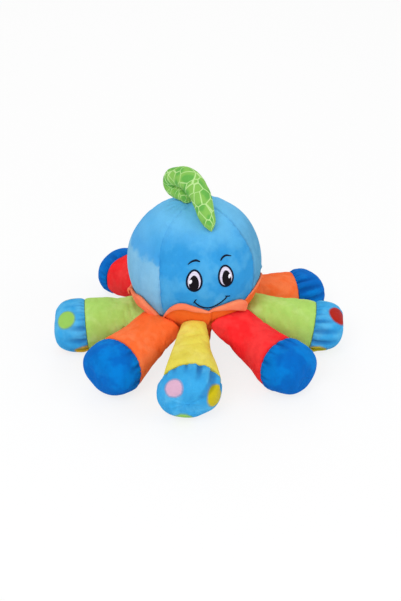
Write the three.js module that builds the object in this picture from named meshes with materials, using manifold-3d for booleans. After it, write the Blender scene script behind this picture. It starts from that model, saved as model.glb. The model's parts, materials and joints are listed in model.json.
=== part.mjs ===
// Stuffed plush octopus: a ball head of four gores with an embroidered face, a printed curl on
// the crown, an orange collar of eight petals, a belly cushion, and eight stuffed legs whose
// gathered feet rest on the floor. Millimetres, +Z up, the face looks along -Y, and the origin is
// the middle of the belly's flat underside.

import * as THREE from 'three';
import { mergeVertices } from 'three/addons/utils/BufferGeometryUtils.js';
import Module from 'manifold-3d';

const wasm = await Module();
wasm.setup();

// Driving sizes, in millimetres
const headRadius = 79.5;
const bellyDepth = 33.7;
const bellyRestRadius = 20;
const plushThickness = 1.5;
const seamGap = 0.3;
const floorCut = 0.5;

const neckBandHeight = 10.4;
const petalThickness = 2.6;
const petalLean = 8;

const footReach = 146;
const footWidth = 72;
const footHeight = 60.4;
const toeLength = 32;
const heelLength = 8;
const rootEdgeRadius = 1.8;

const eyeWidth = 19.5;
const eyeHeight = 26;
const pupilWidth = 11.6;
const pupilHeight = 17.6;
const stitchThickness = 0.8;
const browWidth = 1.8;
const mouthWidth = 1.7;

const curlRadius = 13.2;

// Directions and seam angles, in degrees; latitudes are counted on the head ball
const faceDirection = -90;
const neckLatitude = -40;
const crownLatitude = 87;
const faceGoreAngle = 97;
const sideGoreAngle = 84;
const petalCount = 8;
const collarTurn = -1.5;
const petalCrestLatitudes = [-14, -19, -16, -7.5, -12, -13, -14, -12];
const petalValleyLatitudes = [-22, -24, -22, -33, -15.5, -15.5, -18, -20];
const petalLeanShares = [0.2, 0.9, 0.05, 0, 0.6, 0.1, 0.1, 0.3];
const legDirections = [113.5, 170.5, -146.5, -106.5, -57.5, -19, 14, 64];
const legRootShares = [1.1, 1.15, 1.3, 1, 1.45, 1, 1, 1.2];
const legReachShares = [1.005, 0.966, 0.952, 1, 0.988, 1.03, 1.007, 1];
const eyeAngles = { turn: 14, latitude: 13.8 };
const pupilAngles = { turn: 13.9, latitude: 11.9 };
const browAngles = [[9.5, 28.3], [13, 30.2], [17, 30.4], [21.5, 27.8]];
const mouthAngles = [[-15, -5.6], [-10, -11.2], [-3.5, -14], [3.5, -12.6], [9, -9], [14.5, -4.5]];
const fillingNeckLatitude = -48;

// A petal's lobe is fuller than a sine's hump below a power of one
const lobePower = 0.8;

// The belly's outline from its flat rest up to its rim, which the eight leg roots draw in
const bellyOutlineShares = [
  [0, 0], [0.1, 0.06], [0.16, 0.25], [0.21, 0.45], [0.36, 0.6], [0.74, 0.81], [1, 1],
];

// A leg's side view from its root seam to its foot seam: how far along, how wide as a share of
// the foot, and how far its back and belly bulge past the straight lines, as shares of its height
const legAlongShares = [0, 0.025, 0.07, 0.14, 0.29, 0.47, 0.73, 1];
const legWidthShares = [0.44, 0.46, 0.5, 0.55, 0.64, 0.715, 0.81, 0.905];
const legTopBulgeShares = [0, 0.012, 0.045, 0.083, 0.15, 0.172, 0.103, 0];
const legUnderBulgeShares = [0, 0.012, 0.152, 0.267, 0.273, 0.247, 0.142, 0];
const legEdgeShares = [0.17, 0.9, 0, 0, 0, 0, 0, 0];
const solidRootRings = 3;
const toeAlongShares = [0, 0.4, 0.72, 0.93];
const toeFullness = 2.3;

// The curl's middle line, in shares of the head's radius from the head's centre, and its
// thickness there as a share of the full curl
const curlPathShares = [
  [-0.12, 0.019, 1.0005], [-0.124, 0.025, 1.044], [-0.139, 0.048, 1.073], [-0.178, 0.108, 1.094],
  [-0.22, 0.171, 1.101], [-0.267, 0.244, 1.135], [-0.288, 0.275, 1.218], [-0.267, 0.244, 1.303],
  [-0.216, 0.166, 1.343], [-0.153, 0.072, 1.369], [-0.1, -0.013, 1.364], [-0.042, -0.107, 1.311],
  [0.004, -0.235, 1.232], [0.025, -0.369, 1.14], [0.037, -0.505, 1.032], [0.064, -0.592, 0.935],
  [0.091, -0.61, 0.842],
];
const curlThicknessShares = [
  0.34, 0.36, 0.42, 0.48, 0.54, 0.63, 0.72, 0.82, 0.92, 0.98, 1, 0.99, 0.95, 0.9, 0.79, 0.55, 0.15,
];
const curlSteps = 22;

const legSides = 12;
const curlSides = 8;
const headSides = 24;
const underHeadSteps = 6;
const goreStepAngle = 12;
const goreRows = 10;
const patchSides = 16;
const stitchSteps = 8;
const petalColumns = 7;
const petalRows = 3;

// A faceted ball's flats lie inside its true round by this share
const flatShare = Math.cos(Math.PI / headSides) ** 2;
const headCentreHeight = bellyDepth + headRadius;
const neckSeamRadius = headRadius * Math.cos(THREE.MathUtils.degToRad(neckLatitude));
const neckSeamHeight =
  headCentreHeight + headRadius * Math.sin(THREE.MathUtils.degToRad(neckLatitude));
const bellyRimRadius = neckSeamRadius + plushThickness;
const bellyRimHeight = neckSeamHeight - plushThickness - seamGap;
const legRootRadius = bellyRimRadius + seamGap;
const legHingeHeight = bellyRimHeight - neckBandHeight / 2;

const plush = (name, colour) =>
  new THREE.MeshStandardMaterial({ name, color: colour, roughness: 0.95, metalness: 0 });

const materials = {
  blue: plush('blue_plush', 0x4aa8e6),
  navy: plush('dark_blue_plush', 0x0a66d2),
  dotted: plush('dotted_plush', 0x4cb2ea),
  orange: plush('orange_plush', 0xff7038),
  collar: plush('collar_cloth', 0xff7a48),
  yellow: plush('yellow_plush', 0xe0d452),
  red: plush('red_plush', 0xf52d35),
  green: plush('green_plush', 0xaad75f),
  print: plush('printed_cloth', 0x73b44b),
  filling: plush('fibre_filling', 0xf2f0ea),
  white: plush('white_thread', 0xe6e0f0),
  dark: plush('dark_thread', 0x1b2038),
};

const part = new THREE.Group();

function addMesh(name, geometry, material, turn = 0) {
  const mesh = new THREE.Mesh(geometry, material);
  mesh.name = name;
  mesh.rotation.z = THREE.MathUtils.degToRad(turn);
  part.add(mesh);
}

// Six times the signed volume: it tells whether the faces of a closed mesh point out
function signedVolume(geometry) {
  const index = geometry.getIndex().array;
  const place = geometry.getAttribute('position');
  const [a, b, c] = [new THREE.Vector3(), new THREE.Vector3(), new THREE.Vector3()];
  let total = 0;
  for (let i = 0; i < index.length; i += 3) {
    a.fromBufferAttribute(place, index[i]);
    b.fromBufferAttribute(place, index[i + 1]);
    c.fromBufferAttribute(place, index[i + 2]);
    total += a.dot(b.cross(c));
  }
  return total;
}

function facingOut(geometry) {
  if (signedVolume(geometry) < 0) {
    const index = Array.from(geometry.getIndex().array);
    for (let i = 0; i < index.length; i += 3) {
      [index[i + 1], index[i + 2]] = [index[i + 2], index[i + 1]];
    }
    geometry.setIndex(index);
  }
  return geometry;
}

// A closed skin over rings of points. A ring of one point is a pole, and the first and last are.
function loft(rings) {
  const points = [];
  const starts = rings.map((ring) => {
    const start = points.length;
    points.push(...ring);
    return start;
  });
  const index = [];
  for (let r = 0; r + 1 < rings.length; r += 1) {
    const [near, far] = [starts[r], starts[r + 1]];
    const count = Math.max(rings[r].length, rings[r + 1].length);
    for (let i = 0; i < count; i += 1) {
      const j = (i + 1) % count;
      if (rings[r].length === 1) {
        index.push(near, far + j, far + i);
      } else if (rings[r + 1].length === 1) {
        index.push(near + i, near + j, far);
      } else {
        index.push(near + i, near + j, far + i, near + j, far + j, far + i);
      }
    }
  }
  const geometry = new THREE.BufferGeometry().setFromPoints(points);
  geometry.setIndex(index);
  return facingOut(geometry);
}

// A standard closed shape whose every point is carried to a new place
function reshaped(geometry, place) {
  geometry.deleteAttribute('normal');
  geometry.deleteAttribute('uv');
  const merged = mergeVertices(geometry);
  const position = merged.getAttribute('position');
  const point = new THREE.Vector3();
  for (let i = 0; i < position.count; i += 1) {
    point.fromBufferAttribute(position, i);
    const moved = place(point.x, point.y, point.z);
    position.setXYZ(i, moved.x, moved.y, moved.z);
  }
  return facingOut(merged);
}

// A point on or over the head ball, by its direction round the head and its latitude
function onHead(radius, direction, latitude) {
  const turn = THREE.MathUtils.degToRad(direction);
  const rise = THREE.MathUtils.degToRad(latitude);
  return new THREE.Vector3(
    radius * Math.cos(rise) * Math.cos(turn),
    radius * Math.cos(rise) * Math.sin(turn),
    headCentreHeight + radius * Math.sin(rise),
  );
}

function asSolid(geometry) {
  return new wasm.Manifold(new wasm.Mesh({
    numProp: 3,
    vertProperties: Float32Array.from(geometry.getAttribute('position').array),
    triVerts: Uint32Array.from(geometry.getIndex().array),
  }));
}

// Takes off what reaches under the floor, which leaves the flat that the toy rests on
function cutAtFloor(geometry) {
  const spread = 4 * footReach;
  const slab = new THREE.BoxGeometry(spread, spread, footHeight);
  slab.deleteAttribute('normal');
  slab.deleteAttribute('uv');
  slab.translate(0, 0, -footHeight / 2);
  const cut = asSolid(geometry).subtract(asSolid(mergeVertices(slab))).getMesh();
  const result = new THREE.BufferGeometry();
  result.setAttribute('position', new THREE.BufferAttribute(cut.vertProperties, 3));
  result.setIndex(Array.from(cut.triVerts));
  return result;
}

// Head: four gores from the crown to the neck seam over one ball of filling

function goreGeometry(direction, angle) {
  const across = Math.round(angle / goreStepAngle);
  const middle = headRadius - plushThickness / 2;
  return reshaped(new THREE.BoxGeometry(1, 1, 1, across, goreRows, 1), (x, y, z) => {
    const latitude = THREE.MathUtils.lerp(neckLatitude, crownLatitude, y + 0.5);
    const ringRadius = headRadius * Math.cos(THREE.MathUtils.degToRad(latitude));
    const seam = THREE.MathUtils.radToDeg(seamGap / ringRadius);
    return onHead(middle + z * plushThickness, direction + x * (angle - seam), latitude);
  });
}

function headFilling() {
  const radius = (headRadius - plushThickness) * flatShare - seamGap;
  const ball = new THREE.SphereGeometry(1, headSides, headSides / 2);
  ball.rotateX(Math.PI / 2);
  return reshaped(ball, (x, y, z) => new THREE.Vector3(
    x * radius, y * radius, headCentreHeight + z * radius,
  ));
}

function addHead() {
  const sideTurn = (faceGoreAngle + sideGoreAngle) / 2;
  const backGoreAngle = 360 - faceGoreAngle - 2 * sideGoreAngle;
  addMesh('head_filling', headFilling(), materials.filling);
  addMesh('face_panel', goreGeometry(faceDirection, faceGoreAngle), materials.blue);
  addMesh('right_side_panel', goreGeometry(faceDirection + sideTurn, sideGoreAngle), materials.blue);
  addMesh('left_side_panel', goreGeometry(faceDirection - sideTurn, sideGoreAngle), materials.blue);
  addMesh('back_panel', goreGeometry(faceDirection + 180, backGoreAngle), materials.blue);
}

// Embroidered face: flat patches and lines of thread that follow the ball

function stitchPatch(angles, side, width, height, layer) {
  const base = headRadius + seamGap + layer * (stitchThickness + seamGap);
  const cosine = Math.cos(THREE.MathUtils.degToRad(angles.latitude));
  const widthAngle = THREE.MathUtils.radToDeg(width / headRadius / cosine);
  const heightAngle = THREE.MathUtils.radToDeg(height / headRadius);
  return reshaped(new THREE.CylinderGeometry(0.5, 0.5, 1, patchSides, 1), (x, y, z) => onHead(
    base + (y + 0.5) * stitchThickness,
    faceDirection + side * angles.turn + x * widthAngle,
    angles.latitude + z * heightAngle,
  ));
}

// A line of thread along a row of places, each a turn from the face's middle and a latitude
function stitchLine(places, width) {
  const curve = new THREE.CatmullRomCurve3(places.map(([turn, latitude]) => new THREE.Vector3(
    turn, latitude, 0,
  )));
  const halfAngle = THREE.MathUtils.radToDeg(width / headRadius) / 2;
  const line = new THREE.BoxGeometry(1, 1, 1, stitchSteps, 1, 1);
  return reshaped(line, (x, y, z) => {
    const along = curve.getPointAt(x + 0.5);
    const tangent = curve.getTangentAt(x + 0.5);
    return onHead(
      headRadius + seamGap + (z + 0.5) * stitchThickness,
      faceDirection + along.x - tangent.y * 2 * y * halfAngle,
      along.y + tangent.x * 2 * y * halfAngle,
    );
  });
}

function addFace() {
  const mirrored = browAngles.map(([turn, latitude]) => [-turn, latitude]);
  for (const [name, side] of [['left', -1], ['right', 1]]) {
    const eye = stitchPatch(eyeAngles, side, eyeWidth, eyeHeight, 0);
    const pupil = stitchPatch(pupilAngles, side, pupilWidth, pupilHeight, 1);
    addMesh(`${name}_eye`, eye, materials.white);
    addMesh(`${name}_pupil`, pupil, materials.dark);
  }
  addMesh('left_brow', stitchLine(mirrored, browWidth), materials.dark);
  addMesh('right_brow', stitchLine(browAngles, browWidth), materials.dark);
  addMesh('mouth', stitchLine(mouthAngles, mouthWidth), materials.dark);
}

// Curl: a stuffed tube from the crown, back, over and down the forehead

// The rings of the tube's skin, this much thinner than its outside, while it is thick enough
function curlRings(thinner, leastRadius) {
  const curve = new THREE.CatmullRomCurve3(curlPathShares.map(([x, y, z]) => new THREE.Vector3(
    x * headRadius, y * headRadius, headCentreHeight + z * headRadius,
  )));
  const frames = curve.computeFrenetFrames(curlSteps, false);
  const thickness = new THREE.CatmullRomCurve3(curlThicknessShares.map((share, i) => (
    new THREE.Vector3(i, share, 0)
  )));
  const rings = [];
  for (let step = 0; step <= curlSteps; step += 1) {
    const centre = curve.getPointAt(step / curlSteps);
    const share = thickness.getPoint(curve.getUtoTmapping(step / curlSteps)).y;
    const radius = curlRadius * share;
    if (radius < leastRadius) {
      return { rings, end: [centre] };
    }
    rings.push(Array.from({ length: curlSides }, (_, i) => {
      const angle = (2 * Math.PI * i) / curlSides;
      return centre.clone()
        .addScaledVector(frames.normals[step], (radius - thinner) * Math.cos(angle))
        .addScaledVector(frames.binormals[step], (radius - thinner) * Math.sin(angle));
    }));
  }
  return { rings, end: [curve.getPointAt(1)] };
}

function middleOf(ring) {
  const sum = ring.reduce((total, point) => total.add(point), new THREE.Vector3());
  return [sum.divideScalar(ring.length)];
}

function addCurl() {
  const core = plushThickness + seamGap;
  const outer = curlRings(0, 0);
  const inner = curlRings(plushThickness, 2 * core);
  const filling = curlRings(core, 2 * core).rings;
  addMesh('curl_cover', loft([
    outer.end, ...outer.rings.reverse(), ...inner.rings, inner.end,
  ]), materials.print);
  addMesh('curl_filling', loft([
    middleOf(filling[0]), ...filling, middleOf(filling.at(-1)),
  ]), materials.filling);
}

// Collar: eight lined cloth petals that stand from the neck seam against the head

function petalGeometry(number) {
  const pitch = 360 / petalCount;
  const middle = faceDirection + collarTurn + (number - (petalCount + 1) / 2) * pitch;
  const [leftValley, rightValley] = [
    petalValleyLatitudes[number - 1], petalValleyLatitudes[number % petalCount],
  ];
  const lean = petalLean * petalLeanShares[number - 1];
  return reshaped(new THREE.BoxGeometry(1, 1, 1, petalColumns, petalRows, 1), (x, y, z) => {
    const across = x + 0.5;
    const rise = y + 0.5;
    const valley = THREE.MathUtils.lerp(leftValley, rightValley, across);
    const lobe = Math.sin(Math.PI * across) ** lobePower;
    const rim = THREE.MathUtils.lerp(valley, petalCrestLatitudes[number - 1], lobe);
    const latitude = THREE.MathUtils.lerp(neckLatitude, rim, rise);
    const ringRadius = headRadius * Math.cos(THREE.MathUtils.degToRad(latitude));
    const seam = THREE.MathUtils.radToDeg(seamGap / ringRadius);
    const outward = lean * rise * rise * lobe;
    return onHead(
      headRadius + stitchThickness + 2 * seamGap + (z + 0.5) * petalThickness + outward,
      middle + x * (pitch - seam),
      latitude,
    );
  });
}

function addCollar() {
  for (let number = 1; number <= petalCount; number += 1) {
    addMesh(`petal_${number}`, petalGeometry(number), materials.collar);
  }
}

// Belly: a stuffed orange bowl under the head, flat where it rests on the floor

function lathe(profile) {
  const outline = profile.map(([radius, height]) => new THREE.Vector2(radius, height));
  const turned = new THREE.LatheGeometry(outline, headSides);
  turned.rotateX(Math.PI / 2);
  return reshaped(turned, (x, y, z) => new THREE.Vector3(x, y, z));
}

function bellyOutline(inset) {
  const spread = bellyRimRadius - bellyRestRadius;
  const rise = bellyRimHeight - neckBandHeight;
  const outline = bellyOutlineShares.map(([out, up]) => [
    bellyRestRadius + out * spread - inset, up * rise + inset,
  ]);
  return [[0, inset], ...outline];
}

function underHead(radius, fromLatitude) {
  return Array.from({ length: underHeadSteps + 1 }, (_, i) => {
    const latitude = THREE.MathUtils.degToRad(
      THREE.MathUtils.lerp(fromLatitude, -90, i / underHeadSteps),
    );
    const out = i === underHeadSteps ? 0 : radius * Math.cos(latitude);
    return [out, headCentreHeight + radius * Math.sin(latitude)];
  });
}

function addBelly() {
  const innerRim = bellyRimRadius - plushThickness;
  const coverOuter = bellyOutline(0);
  const coverInner = bellyOutline(plushThickness).reverse();
  addMesh('belly_cover', lathe([
    ...coverOuter, [bellyRimRadius, bellyRimHeight], [innerRim, bellyRimHeight], ...coverInner,
  ]), materials.orange);
  const fillingRadius = innerRim - seamGap;
  const fillingTop = underHead(headRadius + seamGap, fillingNeckLatitude);
  addMesh('belly_filling', lathe([
    ...bellyOutline(plushThickness + seamGap),
    [fillingRadius, fillingTop[0][1]],
    ...fillingTop,
  ]), materials.filling);
}

// Legs: a plush sleeve from a flat root seam to the foot seam, a gathered foot cap, and filling

// One ring across a leg, an ellipse in the plane at this distance from the toy's middle
function legRing(along, halfWidth, top, under) {
  const [middle, halfHeight] = [(top + under) / 2, (top - under) / 2];
  return Array.from({ length: legSides }, (_, i) => {
    const angle = (2 * Math.PI * i) / legSides;
    return new THREE.Vector3(
      along, halfWidth * Math.cos(angle), middle + halfHeight * Math.sin(angle),
    );
  });
}

function sleeveRings(reach, rootShare, inset) {
  const seam = reach - heelLength;
  const soleTop = footHeight - floorCut;
  return legAlongShares.map((share, i) => {
    const straightTop = THREE.MathUtils.lerp(legHingeHeight, soleTop, share);
    const straightUnder = THREE.MathUtils.lerp(legHingeHeight, floorCut, share);
    const edge = legEdgeShares[i] * rootEdgeRadius;
    const top = straightTop + legTopBulgeShares[i] * footHeight + edge;
    const under = straightUnder - legUnderBulgeShares[i] * footHeight - edge;
    const widening = THREE.MathUtils.lerp(rootShare, 1, share);
    return legRing(
      THREE.MathUtils.lerp(legRootRadius, seam, share),
      (widening * legWidthShares[i] * footWidth) / 2 - inset,
      top - inset,
      under + inset,
    );
  });
}

function toeRings(reach, inset, from) {
  const heelShare = legWidthShares.at(-1);
  const rings = [legRing(
    reach - heelLength + from,
    (heelShare * footWidth) / 2 - inset,
    footHeight - floorCut - inset,
    floorCut + inset,
  )];
  for (const share of toeAlongShares) {
    const fullness = (1 - share ** toeFullness) ** (1 / toeFullness);
    const halfHeight = (footHeight / 2) * fullness - inset;
    const middle = footHeight / 2 - floorCut;
    rings.push(legRing(
      reach + share * (toeLength - inset),
      (footWidth / 2) * fullness - inset,
      middle + halfHeight,
      middle - halfHeight,
    ));
  }
  return rings;
}

function poleOf(along) {
  return [new THREE.Vector3(along, 0, footHeight / 2 - floorCut)];
}

function addLeg(number, sleeveMaterial, capMaterial) {
  const direction = legDirections[number - 1];
  const reach = footReach * legReachShares[number - 1];
  const rootShare = legRootShares[number - 1];
  const toe = reach + toeLength;
  const wall = plushThickness;
  const core = plushThickness + seamGap;
  const rootPole = (along) => [new THREE.Vector3(along, 0, legHingeHeight)];

  const sleeveOuter = sleeveRings(reach, rootShare, 0);
  const sleeveInner = sleeveRings(reach, rootShare, wall).slice(solidRootRings).reverse();
  const innerRoot = sleeveInner.at(-1)[0].x - wall;
  addMesh(`leg_${number}_sleeve`, loft([
    rootPole(legRootRadius), ...sleeveOuter, ...sleeveInner, rootPole(innerRoot),
  ]), sleeveMaterial, direction);

  const capOuter = toeRings(reach, 0, seamGap);
  const capInner = toeRings(reach, wall, seamGap).reverse();
  addMesh(`leg_${number}_foot_cap`, cutAtFloor(loft([
    poleOf(toe - wall), ...capInner, ...capOuter, poleOf(toe),
  ])), capMaterial, direction);

  const fillingSleeve = sleeveRings(reach, rootShare, core).slice(solidRootRings).reverse();
  const fillingToe = toeRings(reach, core, seamGap).slice(1).reverse();
  addMesh(`leg_${number}_filling`, loft([
    poleOf(toe - core), ...fillingToe, ...fillingSleeve, rootPole(fillingSleeve.at(-1)[0].x),
  ]), materials.filling, direction);
}

function addLegs() {
  const sleeves = [materials.red, materials.green, materials.orange, materials.yellow];
  const caps = [materials.navy, materials.dotted, materials.navy, materials.dotted];
  legDirections.forEach((_, i) => {
    addLeg(i + 1, sleeves[i % sleeves.length], caps[i % caps.length]);
  });
}

addHead();
addFace();
addCurl();
addCollar();
addBelly();
addLegs();

export default part;
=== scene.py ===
"""The looks of a stuffed plush octopus: velour head in four gores, embroidered face, printed curl,
lined petal collar, belly, and eight stuffed legs with gathered feet. Metres, in the frame's axes."""

import json
import math

import bpy
import numpy as np
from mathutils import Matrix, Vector, noise


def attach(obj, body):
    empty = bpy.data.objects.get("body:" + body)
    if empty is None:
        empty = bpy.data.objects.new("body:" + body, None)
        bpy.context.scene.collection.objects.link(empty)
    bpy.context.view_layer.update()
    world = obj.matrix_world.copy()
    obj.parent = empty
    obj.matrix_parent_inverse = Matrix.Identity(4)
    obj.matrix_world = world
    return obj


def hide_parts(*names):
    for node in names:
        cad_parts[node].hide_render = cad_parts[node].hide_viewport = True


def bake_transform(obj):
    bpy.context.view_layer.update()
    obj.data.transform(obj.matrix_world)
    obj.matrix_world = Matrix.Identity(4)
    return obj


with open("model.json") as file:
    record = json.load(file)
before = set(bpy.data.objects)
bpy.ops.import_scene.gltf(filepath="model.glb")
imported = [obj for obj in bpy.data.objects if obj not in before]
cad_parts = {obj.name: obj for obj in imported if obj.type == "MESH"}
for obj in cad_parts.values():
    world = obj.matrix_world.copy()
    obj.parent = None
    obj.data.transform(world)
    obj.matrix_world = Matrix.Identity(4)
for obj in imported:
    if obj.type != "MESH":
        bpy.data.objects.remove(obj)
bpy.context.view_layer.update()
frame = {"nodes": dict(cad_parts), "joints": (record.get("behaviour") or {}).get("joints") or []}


# Head stuffing. A ball of white polyester fibre, pushed in through the back seam, that gives the
# head its shape. It only shows as a pale line deep in the seams.

HEAD_RADIUS = 0.0795
HEAD_HEIGHT = 0.1132
HEAD_MIDDLE = np.array([0, 0, HEAD_HEIGHT])
CLOTH = 0.0015
STUFFING_DEPTH = 2.2 * CLOTH
STUFFING_LUMP = 0.0006
STUFFING_LUMP_SIZE = 0.02


def named(name):
    """Names the object that an operator has just added."""
    piece = bpy.context.object
    piece.name = name
    piece.data.name = name
    return piece


def places(piece):
    """The place of every vertex of a piece, as rows of x, y, z."""
    found = np.empty(len(piece.data.vertices) * 3)
    piece.data.vertices.foreach_get("co", found)
    return found.reshape(-1, 3)


def sculpt(piece, move):
    """Moves every vertex of a piece: move takes rows of x, y, z and gives them back moved."""
    piece.data.vertices.foreach_set("co", np.ascontiguousarray(move(places(piece))).ravel())
    piece.data.update()


def lumps(points, size, seed=0.0):
    """Smooth noise from about -1 to 1 at each point, with hills of this size."""
    shift = Vector((seed, 2 * seed, 3 * seed))
    return np.array([noise.noise(Vector(p) / size + shift) for p in points])


class Value:
    """One output of a material's node, with the operators that add its Math nodes."""

    def __init__(self, finish, socket):
        self.finish = finish
        self.socket = socket

    def maths(self, operation, *values):
        return self.finish.node("ShaderNodeMath", {"operation": operation}, list(values))

    def __add__(self, other):
        return self.maths("ADD", self, other)

    __radd__ = __add__

    def __mul__(self, other):
        return self.maths("MULTIPLY", self, other)

    __rmul__ = __mul__

    def __sub__(self, other):
        return self.maths("SUBTRACT", self, other)

    def __rsub__(self, other):
        return self.maths("SUBTRACT", other, self)

    def above(self, low, high):
        """A smooth mask: 0 where the value is under low, 1 where it is over high."""
        kind = {"interpolation_type": "SMOOTHSTEP"}
        return self.finish.node("ShaderNodeMapRange", kind, [self, low, high, 0.0, 1.0])


class Finish:
    """A material under its own name. Each call of node adds one node, already joined up."""

    def __init__(self, name, roughness, sheen=0.0, tint=(1, 1, 1), shine=0.1):
        self.material = bpy.data.materials.new(name)
        self.material.use_nodes = True
        self.tree = self.material.node_tree
        self.surface = self.tree.nodes["Principled BSDF"]
        constants = {
            "Roughness": roughness, "Specular IOR Level": shine,
            "Sheen Weight": sheen, "Sheen Roughness": 0.4, "Sheen Tint": (*tint, 1),
        }
        for socket, value in constants.items():
            self.surface.inputs[socket].default_value = value

    def node(self, kind, settings, values=(), output=0):
        made = self.tree.nodes.new(kind)
        for name, value in settings.items():
            setattr(made, name, value)
        sockets = enumerate(values) if isinstance(values, list) else dict(values).items()
        for where, value in sockets:
            if isinstance(value, Value):
                self.tree.links.new(value.socket, made.inputs[where])
            else:
                made.inputs[where].default_value = value
        return Value(self, made.outputs[output])

    def place(self):
        return self.node("ShaderNodeTexCoord", {}, (), "Object")

    def noise(self, scale, detail=2.0, place=None, stretch=None, roughness=0.5):
        where = place or self.place()
        if stretch:
            where = self.node("ShaderNodeMapping", {}, {0: where, 3: stretch})
        sockets = {"Vector": where, "Scale": scale, "Detail": detail, "Roughness": roughness}
        return self.node("ShaderNodeTexNoise", {}, sockets, "Fac")

    def mix(self, factor, first, second, blend="MIX"):
        settings = {"data_type": "RGBA", "blend_type": blend, "clamp_factor": True}
        first, second = ((*c, 1) if isinstance(c, tuple) else c for c in (first, second))
        return self.node("ShaderNodeMix", settings, {0: factor, 6: first, 7: second}, 2)

    def colour(self, value):
        self.tree.links.new(value.socket, self.surface.inputs["Base Color"])

    def bump(self, height, distance, strength=1.0):
        sockets = {"Height": height, "Distance": distance, "Strength": strength}
        normal = self.node("ShaderNodeBump", {}, sockets)
        self.tree.links.new(normal.socket, self.surface.inputs["Normal"])

    def on(self, piece):
        piece.data.materials.clear()
        piece.data.materials.append(self.material)


def dye(red, green, blue):
    """A dyed cloth's colour, from its 0 to 255 screen values to the light that it gives back."""
    return tuple(
        c / 12.92 if c <= 0.04045 else ((c + 0.055) / 1.055) ** 2.4
        for c in (red / 255, green / 255, blue / 255)
    )


def fibre_finish():
    finish = Finish("white_fibre", 1.0, 0.2)
    fluff = finish.noise(420, 5)
    finish.colour(finish.mix(fluff, dye(214, 212, 206), dye(246, 245, 241)))
    finish.bump(fluff, 0.0012)
    return finish


def add_head_stuffing():
    bpy.ops.object.select_all(action="DESELECT")
    bpy.ops.mesh.primitive_ico_sphere_add(
        subdivisions=5, radius=HEAD_RADIUS - STUFFING_DEPTH, location=HEAD_MIDDLE
    )
    ball = named("head_stuffing")
    bpy.ops.object.transform_apply()

    def pack(p):
        lump = STUFFING_LUMP * lumps(p, STUFFING_LUMP_SIZE)
        return p + lump[:, None] * (p - HEAD_MIDDLE) / HEAD_RADIUS

    sculpt(ball, pack)
    bpy.ops.object.shade_smooth()
    fibre_finish().on(ball)
    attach(ball, "root")
    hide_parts("head_filling")


add_head_stuffing()


# Head cover. Four gores of short-pile velour, sewn face to face from the crown to the neck, so each
# seam lies in a groove with small puckers. The lower nap of the left side gore is brushed the other
# way, and it is painted paler as painted sheen, on the side that the main lamp lights. The right side
# gore is painted greyer as painted shade, and the crown paler as painted sheen. The crown is drawn
# in round the root of the curl.

NECK_LATITUDE = -42.0
FACE_HALF_ANGLE = 48.5
SIDE_HALF_ANGLE = 42.0
BACK_HALF_ANGLE = 47.5
GORE_COLUMNS = 84
GORE_ROWS = 110
SEAM_DEPTH = 0.0013
SEAM_WIDTH = 0.0014
LEFT_SEAM_SHADE = 0.12
RIGHT_SEAM_SHADE = 0.28
ROLL_RISE = 0.0006
ROLL_FROM_SEAM = 0.006
ROLL_WIDTH = 0.004
STITCH_LENGTH = 0.0045
PUCKER_DEPTH = 0.0009
PUCKER_REACH = 0.006
# The left seam fades out above this latitude, over this many degrees, where the nap covers it.
FADE_START = 5
FADE_SPAN = 25
# The face seams stray from their meridians by these degrees, at these latitudes.
SEAM_LATITUDES = [-45, 0, 20, 42, 60, 90]
LEFT_SEAM_DRIFT = [3.0, 4.0, 1.5, -4.0, -6.0, 0]
RIGHT_SEAM_DRIFT = [-4.0, -3.0, 0.3, -1.7, 0, 0]
DRIFT_REACH = 26
# Tucks and bulges: azimuth and latitude in degrees, and for a bulge how far it stands out.
SIDE_TUCKS = [(78.0, -6.5), (78.5, -17.0)]
TUCK_WIDTH = 2.2
TUCK_LENGTH = 2.6
TUCK_RISE = 0.0022
HEAD_BULGES = [(-104, 16, 0.0024), (76, 48, 0.0020), (76, -2, -0.0010), (-50, 62, 0.0010)]
BULGE_SPREAD = 0.16
HEAD_LUMP = 0.0007
HEAD_LUMP_SIZE = 0.034
CURL_ROOT_AZIMUTH = -99.0
CURL_ROOT_LATITUDE = 83.0
DIMPLE_DEPTH = 0.0016
DIMPLE_RADIUS = 0.009
CROWN_FOLDS = 9
CROWN_FOLD_DEPTH = 0.0008
CROWN_FOLD_REACH = 0.012


def on_head(radius, azimuth, latitude):
    """Points round the head's middle: azimuth is counted from the face towards +X, in degrees."""
    turn, rise = np.radians(azimuth), np.radians(latitude)
    return np.stack([
        radius * np.cos(rise) * np.sin(turn),
        -radius * np.cos(rise) * np.cos(turn),
        HEAD_HEIGHT + radius * np.sin(rise),
    ], axis=1)


def choose(piece):
    """Makes a piece the only selected one, so that the operators act on it alone."""
    bpy.ops.object.select_all(action="DESELECT")
    piece.select_set(True)
    bpy.context.view_layer.objects.active = piece


def modify(piece, kind, **settings):
    """Adds a modifier with these settings and applies it."""
    choose(piece)
    modifier = piece.modifiers.new(kind.title(), kind)
    for name, value in settings.items():
        setattr(modifier, name, value)
    bpy.ops.object.modifier_apply(modifier=modifier.name)


def close_up(piece, gap=0.00002):
    """Sews the edges that lie on each other, turns the faces outwards and smooths the shading."""
    choose(piece)
    bpy.ops.object.mode_set(mode="EDIT")
    bpy.ops.mesh.select_all(action="SELECT")
    bpy.ops.mesh.remove_doubles(threshold=gap)
    bpy.ops.mesh.normals_make_consistent(inside=False)
    bpy.ops.object.mode_set(mode="OBJECT")
    bpy.ops.object.shade_smooth()


def mark(piece, name, values):
    """Writes a number on each vertex, for a material or a later step to read."""
    marks = piece.data.attributes.get(name) or piece.data.attributes.new(name, "FLOAT", "POINT")
    marks.data.foreach_set("value", np.ascontiguousarray(values))


def paint_crease_shade(piece, strength):
    """Marks how deep in a fold each vertex lies, from 0 to 1, as painted shade: the cloth is painted
    darker there.
    """
    mark(piece, "paint_crease_shade", np.clip(strength, 0, 1))


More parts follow.
